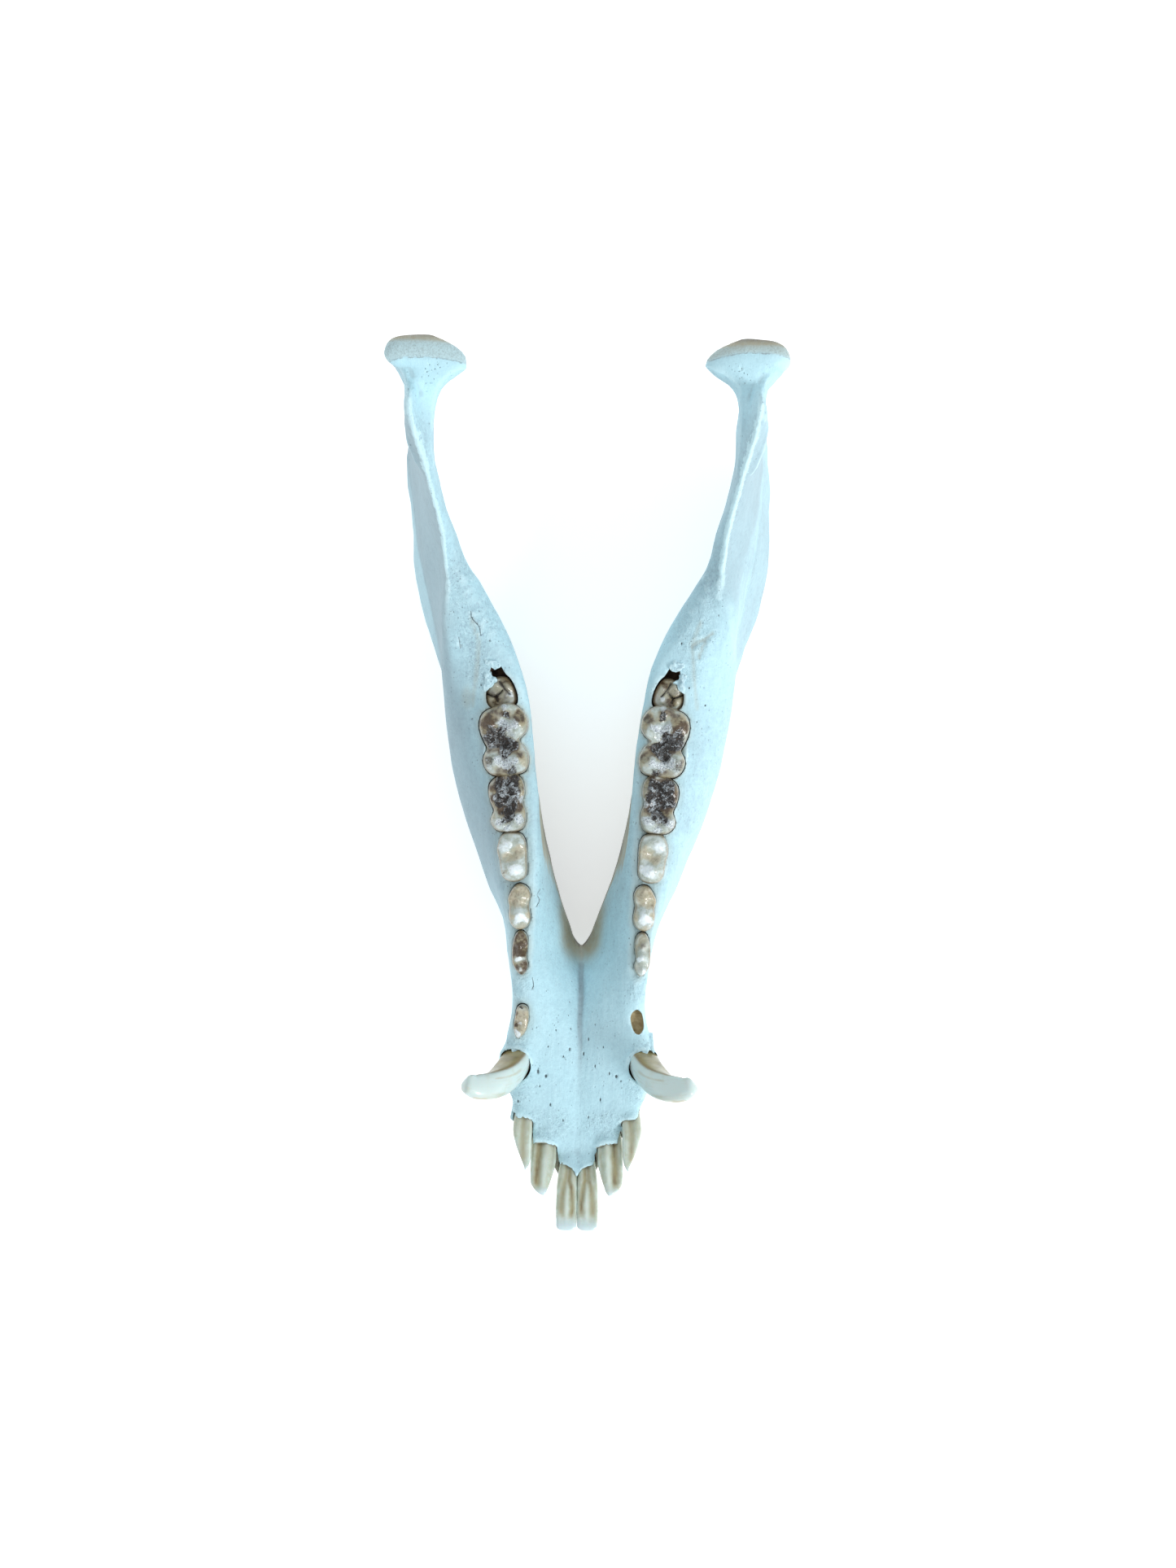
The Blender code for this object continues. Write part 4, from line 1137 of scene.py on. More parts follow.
def take_off_crowns(bone):
    """Cuts the fused crowns and the front teeth off the solid jaw."""
    crowns = []
    for kind, _, outline in standing_teeth():
        buried = kind == "molar_3"
        foot = BURIED_FOOT - 1.5 if buried else BONE_LEVEL[kind] + 0.3
        grow = 0.2 if buried else 1.0
        levels = [(foot, 1), (CLEAR_OF_TEETH, 1)]
        crowns.append(stack("crown_space", outline, levels, 32, grow))
    for side in SIDES.values():
        for spec in INCISORS.values():
            sweep = Sweep(spec, side)
            crowns.append(tube(
                "incisor_space", sweep, 24, 24, oval_section(2.3), grow=0.45, start=0.45,
                reach=1.08, blunt=True,
            ))
    cut(bone, crowns)


def fillings():
    """Bodies that fill the bone up round the roots, the crypts and the necks of the joints."""
    plugs = [stack("lost_filling", lost_premolar(), LOST_FILLING, 32, 1.0)]
    for side in SIDES.values():
        for name, spec in INCISORS.items():
            plugs.append(tube(
                "collar", Sweep(spec, side), 24, 16, oval_section(2.3),
                grow=COLLARS[name][1], reach=COLLARS[name][0], blunt=True,
            ))
        plugs.append(tube(
            "tusk_collar", Sweep(TUSK, side), 32, 20, oval_section(2.2),
            grow=1.0, reach=0.33, blunt=True,
        ))
        for spec in NECK:
            plugs.append(tube("neck", Sweep(spec, side), 32, 32, oval_section(2.6)))
    for side in SIDES.values():
        plug = stack("crypt_filling", crypt(side), CRYPT_FILLING, 32, 2.2)
        plug_surface = Surface(plug)
        slope = (plug_surface.points[:, 1] - 27) * 0.15 * (plug_surface.points[:, 2] > 40)
        plug_surface.points[:, 2] += slope
        plug_surface.write()
        plugs.append(plug)
    return plugs


def bare_bone(voxel):
    """The jaw without its teeth, its crypts and sockets still closed, as fine voxels."""
    bone = solid_jaw()
    take_off_crowns(bone)
    join([bone, *fillings()])
    apply_modifier(bone, "REMESH", mode="VOXEL", voxel_size=voxel, use_smooth_shade=True)
    apply_modifier(bone, "SMOOTH", factor=0.5, iterations=5)
    # The joints' necks are smoothed once more, apart from the crest.
    x, station, z = Surface(bone).points.T
    blended = fade(station, 80, 88) * fade(station, 116, 113) * fade(z, 74, 80)
    blended *= fade(np.abs(x), 51.5, 50) * fade(np.abs(x), 42.5, 43.5)
    blended *= fade(np.abs(np.abs(x) - 47.6), 0.4, 2.0)
    group = bone.vertex_groups.new(name="neck")
    group.add(np.flatnonzero(blended > 0.5).tolist(), 1.0, "REPLACE")
    apply_modifier(bone, "SMOOTH", factor=0.5, iterations=22, vertex_group="neck")
    return bone


def all_pits():
    """Every small pit as (x, station, half width, half length, depth)."""
    sided = [(side * x, *rest) for x, *rest in SIDE_HOLES for side in SIDES.values()]
    return CHIN_HOLES + sided


def pit_cutters(bone):
    """Small oval bodies that stand in the surface of the bone where its pits are."""
    surface = Surface(bone)
    up = surface.points[surface.normals[:, 2] > 0.25]
    cutters = []
    for x, station, half_width, half_length, deep in all_pits():
        near = np.hypot(up[:, 0] - x, up[:, 1] - station) < 1.0
        if not near.any():
            raise RuntimeError(f"no bone under the pit at {x}, {station}")
        top = up[near, 2].max()
        turns = np.linspace(0, math.tau, 13)[:-1]
        ring = np.stack([half_width * np.cos(turns), half_length * np.sin(turns)], axis=1)
        outline = Outline(ring, (x, station), 1)
        levels = [(top - 0.7 * deep, 0.5), (top - 0.2, 1), (top + 2, 1.3)]
        cutters.append(stack("pit", outline, levels, 12))
    return cutters


def crack_cutters(bone):
    """Thin bodies that stand in the surface of the bone along its cracks."""
    surface = Surface(bone)
    up = surface.points[surface.normals[:, 2] > 0.1]
    cutters = []
    for line in CRACKS:
        rows = []
        for i, (x, station) in enumerate(line):
            nearest = up[np.hypot(up[:, 0] - x, up[:, 1] - station).argmin()]
            width = 0.1 if i in (0, len(line) - 1) else 0.26
            rows.append((x, station, nearest[2], width, 0.3))
        spec = {"path": rows, "across": (1, 0, 0), "tip": 0.9, "squareness": 2.0}
        cutters.append(tube("crack", Sweep(spec, 1), 8, 20, oval_section(2.0), blunt=True))
    return cutters


def edges_of(obj):
    """How sharply each point stands out of its surroundings, from 0 over 0.5, flat, to 1."""
    surface = Surface(obj)
    mesh = obj.data
    ends = np.empty(len(mesh.edges) * 2, np.int32)
    mesh.edges.foreach_get("vertices", ends)
    first, second = ends.reshape(-1, 2).T
    count = np.bincount(ends, minlength=len(surface.points))
    heights = np.zeros(len(surface.points))
    step = surface.points[second] - surface.points[first]
    length = np.maximum(np.linalg.norm(step, axis=1), 0.05)
    for here, way in ((first, step), (second, -step)):
        rise = np.einsum("ij,ij->i", way, surface.normals[here]) / length
        heights -= np.bincount(here, rise, len(heights))
    heights /= np.maximum(count, 1)
    for _ in range(2):
        around = np.bincount(first, heights[second], len(heights))
        around += np.bincount(second, heights[first], len(heights))
        heights = 0.5 * heights + 0.5 * around / np.maximum(count, 1)
    return 0.5 + 2.2 * heights


def roughness_of(surface):
    """How rough the bone is at each point, from 0 to 1."""
    points = surface.points
    grit = np.zeros(len(points))
    across = np.abs(points[:, 0])
    upward = fade(surface.normals[:, 2], -0.1, 0.4)
    for x, station, reach_across, reach_along in ROUGH_GROUND:
        reach = np.hypot((across - x) / reach_across, (points[:, 1] - station) / reach_along)
        grit = np.maximum(grit, fade(reach, 1.3, 0.5))
    crest = fade(distance_to_line(from_crest(points), CREST_LINE), 2.4, 0.6)
    crest *= fade(points[:, 1], 50, 64)
    grit = np.maximum(grit, 0.7 * crest)
    return grit * upward


def nearest_slot(station, slots):
    """Which of an even row of stations each point lies nearest to."""
    place = np.round((station - slots[0]) / (slots[1] - slots[0])).astype(int)
    return np.clip(place, 0, len(slots) - 1)


def uneven_halves(points):
    """Points moved sideways, so that each half of the bone has its own slightly uneven edges."""
    slots = np.arange(-125, 130, 2.5)
    moved = points.copy()
    for side, columns in ((-1, (1, 2)), (1, (4, 3))):
        mine = points[:, 0] * side > 0
        across = points[mine, 0] * side
        station = points[mine, 1]
        place = nearest_slot(station, slots)
        inner = np.full(len(slots), 60.0)
        outer = np.zeros(len(slots))
        np.minimum.at(inner, place, across)
        np.maximum.at(outer, place, across)
        near = np.interp(station, slots, inner)
        far = np.maximum(np.interp(station, slots, outer), near + 1)
        share = np.clip((across - near) / (far - near), 0, 1)
        outwards, inwards = looked_up(SETTLING, station, *columns)
        moved[mine, 0] += outwards * share + inwards * (1 - share)
    return moved


def shape_joint_heads(points, moved):
    """Draws the joint heads back at their inner ends, and tapers them to their necks."""
    x, station, z = points.T
    across = np.abs(x)
    reach = fade(across, 51, 42) - 0.5 * fade(across, 50, 56)
    moved[:, 1] += 1.9 * reach * fade(station, 110, 117) * fade(z, 86, 92)
    right, left = looked_up(HEAD_EDGES, station, 1, 2)
    head = fade(z, 74, 84) * fade(across, 44.5, 48.5)
    moved[:, 0] += np.where(x > 0, left, -right) * head
    across = np.abs(moved[:, 0])
    gap = looked_up(HEAD_FRONT, across, 1)[0] - moved[:, 1]
    inner = fade(across, 42.6, 41.6) * fade(z, 70, 78)
    moved[:, 1] += 0.86 * (np.maximum(gap, 0) * fade(gap, 14, 10)) * inner


def settle(points):
    """Points moved so that the two halves of the bone differ a little."""
    x, station, z = points.T
    moved = uneven_halves(points)
    shape_joint_heads(points, moved)
    # The rising branches are broad at their roots.
    root = np.exp(-(((np.abs(x) - 41) / 4) ** 2)) * fade(station, 32, 48)
    root *= fade(station, 74, 60) * fade(z, 40, 48)
    moved[:, 0] += 1.7 * root * np.sign(x)
    # The left crest leans in.
    off = np.abs(x) - crest_across(station)
    moved[:, 0] -= leaning(station) * (np.exp(-((off / 4.5) ** 2)) * fade(z, 44, 60) * (x > 0))
    return moved


def crest_across(station):
    """How far from the middle the crest of the rising branch lies at a station."""
    rows = [(place, outwards) for outwards, place in reversed(CREST_LINE)]
    return looked_up(rows, station, 1)[0]


def leaning(station):
    """How far the left crest leans in there."""
    return CREST_LEAN * fade(station, 46, 58) * fade(station, 114, 108)


def from_crest(points):
    """Points as (outwards, station), as if the left crest did not lean."""
    lean = np.where(points[:, 0] > 0, leaning(points[:, 1]), 0)
    return np.stack([np.abs(points[:, 0]) + lean, points[:, 1]], axis=1)


def beyond_flange(points):
    """How far outside the crease of the jaw's outer face each point lies, or below 0 inside."""
    left, right = looked_up(FLANGE, points[:, 1], 1, 2)
    return np.abs(points[:, 0]) - np.where(points[:, 0] > 0, left, right)


def around_crest(points):
    """How far each point lies outside the rising branch's crest, and how far above it."""
    station, z = points[:, 1], points[:, 2]
    off = from_crest(points)[:, 0] - crest_across(station)
    slots = np.arange(20, 125, 1.5)
    top = np.zeros(len(slots))
    place = nearest_slot(station, slots)
    close = np.abs(off) < 2.0
    np.maximum.at(top, place[close], z[close])
    return off, z - np.interp(station, slots, top)


def narrow_crest(points):
    """Each point's x, drawn in towards the crest of the rising branch near its top."""
    off, height = around_crest(points)
    pull = np.exp(-((off / 2.8) ** 2)) * fade(height, -6.0, -1.0)
    pull *= fade(points[:, 1], 50, 64) * fade(points[:, 1], 116, 110)
    return points[:, 0] - np.sign(points[:, 0]) * off * 0.3 * pull


def relief_of(surface, wander):
    """How far each point of the bone is raised or sunk for its undulations, seams and scars."""
    points = surface.points
    station, z = points[:, 1:].T
    upward = fade(surface.normals[:, 2], 0.2, 0.6)
    height = 0.10 * waves(points, 7.0, 1) + 0.05 * waves(points, 2.6, 2)
    rough = 0.22 * waves(points, 1.9, 3) + 0.14 * waves(points, 1.1, 4)
    height += roughness_of(surface) * rough
    seam = fade(distance_to_line(wander, SUTURE), 1.3, 0.1)
    height -= (0.05 + 0.25 * fade(station, -92, -74)) * seam * upward
    flange = np.exp(-((beyond_flange(points) / 0.7) ** 2)) * (z < 60)
    height -= 0.3 * flange * fade(station, 40, 46) * fade(station, 106, 98)
    for line in SCARS:
        scar = distance_to_line(wander, line)
        height -= 0.45 * np.exp(-((scar / 0.55) ** 2)) * upward
        height += 0.3 * np.exp(-(((scar - 1.3) / 0.5) ** 2)) * upward
    return height


def crest_lip(surface, wander):
    """How far each point rises for the rough lip along the rising branches' crests, and how
    far it sinks beside that."""
    points = surface.points
    station, z = points[:, 1:].T
    off = distance_to_line(from_crest(points) + 0.3 * (wander - points[:, :2]), CREST_LINE)
    lip = fade(station, 50, 64) * fade(z, 42, 48) * fade(surface.normals[:, 2], 0.05, 0.3)
    lip *= fade(around_crest(points)[1], -7.0, -4.5)
    uneven = 0.8 + 0.35 * waves(points, 2.2, 9) + 0.2 * waves(points, 1.1, 10)
    rise = uneven * np.exp(-((off / 1.2) ** 2)) * lip
    return rise, 0.5 * np.exp(-(((off - 2.4) / 1.1) ** 2)) * lip


def carve_bone(bone):
    """Moves the points of the bone for its uneven halves, its relief and its crests."""
    surface = Surface(bone)
    surface.points = settle(surface.points)
    points = surface.points
    drift = np.stack([waves(points, 3.0, 5), waves(points, 3.0, 6)], axis=1)
    wander = points[:, :2] + 0.35 * drift
    rise, sink = crest_lip(surface, wander)
    surface.points = points + surface.normals * relief_of(surface, wander)[:, None]
    surface.points[:, 2] += rise
    surface.points[:, 2] -= sink
    surface.points[:, 0] = narrow_crest(surface.points)
    surface.write()


def open_sockets(bone, finishes):
    """Cuts the pits, sockets, crypts and incisor troughs. The cut faces get the second finish."""
    cutters = pit_cutters(bone) + crack_cutters(bone)
    for kind, _, outline in standing_teeth():
        if kind == "molar_3":
            continue
        # The gap is wider on the outer side of the tooth.
        gap = 0.18 if kind in FOLDED_MOLARS else 0.05
        outline.middle = outline.middle + (1.6 * gap * outline.side, 0)
        levels = [(BONE_LEVEL[kind] - 3.5, 0.9), (BONE_LEVEL[kind] - 1, 1), (CLEAR_OF_TEETH, 1)]
        cutters.append(stack("socket", outline, levels, 48, gap))
    for side in SIDES.values():
        cutters.append(stack("crypt", crypt(side), CRYPT_OPENING, 48))
        for spec in INCISORS.values():
            cutters.append(tube(
                "incisor_socket", Sweep(spec, side), 28, 40, oval_section(2.3), grow=0.3,
                start=0.3, reach=1.05, blunt=True,
            ))
        cutters.append(tube(
            "tusk_socket", Sweep(TUSK, side), 32, 40, oval_section(2.2), grow=0.25, start=0.05,
            reach=0.75, blunt=True,
        ))
    cutters.append(stack("lost_premolar_socket", lost_premolar(), LOST_OPENING, 36))
    front_trim = prism("front_trim", FRONT_EDGE, 41.4, 70)
    cutters.append(front_trim)
    for obj in [bone, *cutters]:
        obj.data.materials.clear()
        for finish in finishes:
            obj.data.materials.append(finish)
        if obj not in (bone, front_trim):
            obj.data.polygons.foreach_set("material_index", [1] * len(obj.data.polygons))
    cut(bone, cutters)


def joint_caps(points):
    """How much each point belongs to the worn cap of a joint head."""
    x, station, z = points.T
    arch = 1 - ((np.abs(x) - 44) / 11) ** 2
    brink = np.where(x > 0, 115.0 + 1.4 * arch, 113.2 + 0.9 * arch)
    return fade(station, brink - 1, brink + 1) * fade(z, 86, 91)


def seam_of(surface):
    """The groove along the middle of the chin, stronger towards the notch behind it."""
    seam = fade(distance_to_line(surface.points[:, :2], SUTURE), 1.8, 0.1)
    seam *= fade(surface.normals[:, 2], 0.3, 0.7)
    return seam * (0.1 + 0.5 * fade(surface.points[:, 1], -90, -66))


def flanges(points):
    """The strip of each rising branch outside the crease of its outer face."""
    station, z = points[:, 1:].T
    strip = fade(beyond_flange(points), -0.2, 0.6) * fade(z, 60, 45)
    return strip * band(station, 30, 52, 80, 106)


def stains_and_shade_of(surface):
    """How brown the bone is painted at each point, from 0 to 1: its stains, and painted shade in
    the notch behind the chin and on the inner sides.
    """
    points = surface.points
    x, station, z = points.T
    facing_forward, upward = -surface.normals[:, 1], surface.normals[:, 2]
    inward = surface.normals[:, 0] * np.sign(-x)
    flat = points[:, :2]
    on_top = z > 30
    stains = []
    # A rim and a faint halo round each cheek tooth.
    by_teeth = (np.abs(station + 22) < 65) & (z > 34)
    for kind, _, outline in standing_teeth():
        gap = outline.outside(flat)
        rim = fade(gap, 1.0, 0.1) * (0.3 if kind.startswith("molar") else 0.18)
        stains.append(np.maximum(rim, 0.13 * fade(gap, 3.4, 0.5)) * by_teeth)
    # Painted shade, in brown, in the notch behind the chin.
    notch = band(station, -60, -48, -40, -30) * fade(np.abs(x), 11, 3)
    stains.append(0.55 * notch * fade(z, 38, 24) * fade(upward, 0.9, 0.6))
    # Painted shade, in brown, on the inner sides: their lower parts, and the whole wall beside the
    # notch.
    stains.append(0.75 * fade(inward, 0.2, 0.6) * fade(z, 30, 12) * fade(station, 60, 20))
    wall = fade(inward, 0.3, 0.6) * fade(upward, 0.2, 0.04)
    wall *= band(station, -62, -50, -10, 12) * fade(z, 42, 38)
    wall *= (0.6 + 0.4 * fade(z, 40, 22)) * (0.85 + 0.3 * waves(points, 6.0, 8))
    stains.append(0.95 * wall)
    # The caps of the joint heads, darkest at their rear rims.
    worn_cap = np.where(x > 0, 0.2, 0.08) + 0.7 * fade(station, 117.6, 120.8)
    stains.append(joint_caps(points) * worn_cap)
    # The furrows beside the last molars, a tan spot on the right, and the scars.
    furrow = distance_to_line(np.stack([np.abs(x), station], axis=1), FURROW)
    stains.append(0.2 * fade(furrow, 1.4, 0.1) * on_top)
    spot_x, spot_station, reach_across, reach_along = TAN_SPOT
    tanned = np.hypot((x - spot_x) / reach_across, (station - spot_station) / reach_along)
    stains.append(0.18 * fade(tanned, 1.2, 0.3) * on_top)
    for line in SCARS:
        stains.append(0.22 * fade(distance_to_line(flat, line), 1.0, 0.2) * on_top)
    # The front face below the incisors, and the line of the gums round their roots.
    foremost = fade(facing_forward, 0.25, 0.7) * fade(station, -94, -105)
    stains.append(0.6 * foremost * band(z, 28, 42, 48, 52) * fade(upward, 0.75, 0.5))
    stains.append(0.7 * band(z, 38.5, 40.0, 41.4, 42.2) * fade(station, -103, -106))
    return np.maximum.reduce(stains)


def shades_of(surface):
    """How much grey the bone is painted at each point, from 0 to 1: its seam, faint grey patches,
    and painted shade on the left flange, on the right side's outer faces and on the left branch.
    """
    points = surface.points
    x, station, z = points.T
    leftward = surface.normals[:, 0]
    flange = flanges(points)
    # Painted shade: the right side's outer faces, turned away from the key light, are greyed.
    turned = fade(-leftward, 0.25, 0.7) * (x < 0) * fade(station, -60, -20)
    # Painted shade on the left branch, strongest on the faces towards the key light.
    shaded_left_branch = (x > 0) * band(station, 42, 58, 92, 106) * fade(z, 40, 52)
    return np.maximum.reduce([
        seam_of(surface),
        0.2 * fade(waves(points, 9.0, 8), 0.2, 0.9),
        # Painted shade on the left flange.
        0.3 * flange * (x > 0),
        0.58 * turned * (1 - 0.6 * flange),
        shaded_left_branch * (0.3 + 0.2 * fade(leftward, 0, 0.5)),
    ])


def pale_and_highlight_places(surface):
    """How much paler the bone is painted at each point, from 0 to 1: painted highlight on the joint
    heads' upward fronts and on the right flange, and paler ground on the chin and behind the left
    teeth.
    """
    points = surface.points
    x, station, z = points.T
    head = fade(z, 82, 92) * fade(station, 95, 108) * (1 - joint_caps(points))
    behind_teeth = (x > 0) * band(station, 16, 28, 46, 62) * fade(z, 36, 42)
    return np.maximum.reduce([
        # Painted highlight on the fronts of the joint heads, where they face up.
        head * fade(surface.normals[:, 2], -0.2, 0.3) * np.where(x > 0, 0.5, 0.8),
        0.28 * fade(station, -25, -60) * (1 - fade(seam_of(surface), 0.1, 0.4)),
        0.4 * behind_teeth,
        # Painted highlight on the right flange.
        0.35 * flanges(points) * (x < 0),
    ])


def crest_of(surface):
    """The ridge on the front of each rising branch, painted bright as worn bone and as painted
    highlight on its upward faces.
    """
    points = surface.points
    _, station, z = points.T
    ridge = fade(distance_to_line(from_crest(points), CREST_LINE), 1.9, 0.5)
    ridge *= fade(surface.normals[:, 2], 0.1, 0.5) * fade(around_crest(points)[1], -7.0, -4.5)
    return ridge * band(station, 54, 68, 98, 106) * fade(z, 44, 50)


def pits_of(points):
    """Marks the ground round pits and cracks, whose walls are paler than those of sockets."""
    flat = points[:, :2]
    pit = np.zeros(len(points), bool)
    for x, station, *_ in all_pits():
        pit |= np.hypot(*(flat - (x, station)).T) < 1.0
    for line in CRACKS:
        pit |= distance_to_line(flat, line) < 0.6
    return pit


def paint_bone(bone):
    """Keeps on the bone's points what its materials read: stains and painted shade, grit, painted
    shade, painted highlight and the rest.
    """
    surface = Surface(bone)
    joint = joint_caps(surface.points)
    surface.paint("stain", stains_and_shade_of(surface))
    surface.paint("grit", np.maximum(roughness_of(surface), joint))
    surface.paint("shade", shades_of(surface))
    surface.paint("joint", joint)
    # Painted shade in the socket walls: all but the lost premolar's open socket are darkened.
    surface.paint("deep", fade(lost_premolar().outside(surface.points), 0.6, 1.2))
    surface.paint("pit", pits_of(surface.points))
    # Paler convex edges, partly painted highlight, and painted shade in hollows.
    surface.paint("edge", edges_of(bone))
    surface.paint("pale", pale_and_highlight_places(surface))
    surface.paint("crest", crest_of(surface))


def chips(name, side_name, finish):
    """Thin points of bone at a rim, joined into one small piece."""
    parts = []
    for path in CHIPS[name]:
        spec = {"path": path, "across": (1, 0, 0), "tip": 0.7, "squareness": 2.0}
        parts.append(tube("chip", Sweep(spec, SIDES[side_name]), 16, 16, oval_section(2.2)))
    piece = named(join(parts), f"{name}_{side_name}")
    apply_modifier(piece, "REMESH", mode="VOXEL", voxel_size=TOOTH_VOXEL * MM)
    surface = Surface(piece)
    rough = 0.12 * waves(surface.points, 1.3, 31) + 0.06 * waves(surface.points, 0.6, 32)
    if name == "crypt_rim":
        rough = 3.0 * rough - 0.1
    surface.points += surface.normals * rough[:, None]
    surface.write()
    apply_modifier(piece, "SMOOTH", factor=0.5, iterations=2)
    surface = Surface(piece)
    surface.paint("grit", np.full(len(surface.points), 0.6))
    # Paler convex edges, partly painted highlight, and painted shade in hollows.
    surface.paint("edge", 0.06 + edges_of(piece))
    return shaded(piece, finish)


# The teeth.


def blobs(places, rows, spread):
    """How strongly soft round patches cover places in millimetres, one over another."""
    left = np.ones(len(places))
    for out, rear, radius, strength in rows:
        reach = np.hypot(places[:, 0] - out, places[:, 1] - rear) / (radius * spread)
        left *= 1 - min(strength, 0.97) * fade(reach, 1.7, 0.4)
    return 1 - left


def crown(name, outline, foot, top, grow):
    """A smooth, rounded crown over its root, as fine voxels."""
    rise = top - foot
    levels = [
        (foot, 0.74), (foot + 0.4 * rise, 0.93), (foot + 0.62 * rise, 0.99),
        (foot + 0.8 * rise, 1.0), (foot + 0.93 * rise, 0.96), (top, 0.86), (top, 0.6), (top, 0.3),
    ]
    obj = stack(name, outline, levels, 64, grow)
    apply_modifier(obj, "SUBSURF", levels=1, render_levels=1)
    apply_modifier(obj, "REMESH", mode="VOXEL", voxel_size=TOOTH_VOXEL * MM)
    apply_modifier(obj, "SMOOTH", factor=0.5, iterations=3)
    return obj


def cheek_tooth(name, side_name, outline, finish):
    """One cheek tooth, with its cusps, folds and clefts and the marks for their colours."""
    tooth = CHEEK_TEETH[name]
    buried = name == "molar_3"
    foot = BURIED_FOOT if buried else BONE_LEVEL[name] - 3.4
    top = NECK_LEVEL + tooth["height"]
    obj = crown(f"{name}_{side_name}", outline, foot, top, 0.3 if buried else 0.0)
    surface = Surface(obj)
    places = outline.local(surface.points)
    height = surface.points[:, 2]
    on_top = fade(height, foot + 0.6 * (top - foot), top - 0.2)
    relief = np.zeros(len(places))
    for out, rear, rise, spread in tooth["bumps"]:
        reach = np.hypot(places[:, 0] - out, places[:, 1] - rear) / spread
        relief += rise * np.exp(-(reach**2))
    seed = list(CHEEK_TEETH).index(name) + (10 if side_name == "right" else 0)
    patches = PATCHES.get(f"{name}_{side_name}", PATCHES[name])
    wander = places.copy()
    for reach, size in ((0.9, 3.2), (0.5, 1.4), (0.25, 0.6)):
        drift = [waves(surface.points, size, seed + turn) for turn in (0, 3)]
        wander += reach * np.stack(drift, axis=1)
    folded = name in FOLDED_MOLARS
    marks = {
        kind: blobs(wander, patches.get(kind, []), spread if folded else 1.0)
        for kind, spread in PATCH_SPREADS.items()
    }
    ridge, mark = crystals(wander, 0.95, seed)
    _, small_mark = crystals(wander, 0.5, seed + 5)
    broken = np.clip(marks["enamel"] + marks["soot"] - 0.25, 0, 1) * (1.0 if folded else 0.25)
    relief += broken * (0.55 * mark + 0.3 * small_mark - 0.35)
    relief -= broken * 0.35 * fade(ridge, 0.16, 0.0)
    relief += 0.08 * waves(surface.points, 1.3, seed + 1)
    cleft = np.zeros(len(places))
    clefts = CLEFTS if buried else []
    for line in clefts:
        away = distance_to_line(places + 0.25 * (wander - places), line)
        relief -= 0.8 * fade(away, 0.7, 0.0)
        cleft = np.maximum(cleft, fade(away, 0.34, 0.1))
    surface.points[:, 2] += on_top * relief
    wobble = 0.12 * waves(surface.points, 2.4, seed + 2) * fade(height, foot, foot + 3)
    surface.points += surface.normals * (wobble * (1 - on_top))[:, None]
    surface.write()
    gap = outline.outside(surface.points)
    for kind, strength in marks.items():
        weaker = 0.6 if kind == "soot" and not folded else 1.0
        surface.paint(kind, strength * on_top * weaker)
    surface.paint("rim", fade(gap, -1.0, -0.25))
    surface.paint("flecks", np.full(len(gap), float(folded)))
    surface.paint("cleft", cleft)
    surface.paint("crystal", 0.6 * mark + 0.4 * small_mark)
    return shaded(obj, finish)


def narrowing(name, share):
    """How far apart the grooves of an incisor lie there: less towards its root and its tip."""
    if name != "incisor_1":
        return np.ones(len(share))
    return np.clip(1 - 0.6 * ((share - 0.78) / 0.2) ** 2, 0.3, 1)


def incisor_section(name):
    """The section of an incisor: grooves on the side that faces up, either side of a ridge."""
    rounded = oval_section(2.5)
    outer, inner, middle = INCISORS[name].get("point", (1.0, 1.0, 0.0))

    def section(turn, share):
        right, over = rounded(turn, share)
        most = 1 - (1 - middle) * np.clip((share - outer) / (1.05 - outer), 0, 1) ** 1.4
        least = -1 + (1 + middle) * np.clip((share - inner) / (1.05 - inner), 0, 1) ** 1.4
        right = (most + least) / 2 + right * (most - least) / 2
        upper = fade(np.sin(turn), 0.0, 0.5)
        for place, width, depth, drift, _ in GROOVES[name]:
            here = place * narrowing(name, share)
            reach = (right - here - drift * (share - 0.75)) / width
            over = over - upper * depth * np.exp(-(reach**2)) * fade(share, 1.0, 0.9)
        return right, over

    return section


def incisor(name, side_name, finish):
    """One front tooth, with the grooves that its upper face has."""
    sweep = Sweep(INCISORS[name], SIDES[side_name])
    obj = tube(f"{name}_{side_name}", sweep, 96, 140, incisor_section(name))
    surface = Surface(obj)
    share, right, _ = on_sweep(surface.points, sweep)
    upper = fade(surface.normals[:, 2], -0.1, 0.4)
    seed = list(INCISORS).index(name) + (5 if side_name == "left" else 0)
    wander = 0.10 * waves(surface.points, 4.0, seed) + 0.03 * waves(surface.points, 0.8, seed)
    brown = np.zeros(len(share))
    for place, width, _, drift, strength in GROOVES[name]:
        here = place * narrowing(name, share)
        reach = (right + wander - here - drift * (share - 0.75)) / width
        brown = np.maximum(brown, strength * np.exp(-(reach**2)))
    brown = np.maximum(brown, 0.45 * fade(share + 0.3 * wander, 0.72, 0.56))
    start, end, tip = INCISOR_MARKS[name]
    brown *= fade(share + 0.3 * wander, end, end - 0.12) * (0.35 + 0.65 * upper)
    lift = 0.05 * waves(surface.points, 1.4, seed) * fade(share, 0.2, 0.4)
    surface.points += surface.normals * lift[:, None]
    surface.write()
    surface.paint("stain", brown)
    middle, width, drift = start
    reach = (right + 0.5 * wander - middle - drift * (share - 0.75)) / width
    reach /= 0.4 + 0.6 * narrowing(name, share)
    surface.paint("ridge", np.exp(-(reach**2)) * upper * fade(share, 0.99, 0.85))
    surface.paint("clear", fade(share + 0.35 * wander, tip - 0.02, tip + 0.1))
    return shaded(obj, finish)


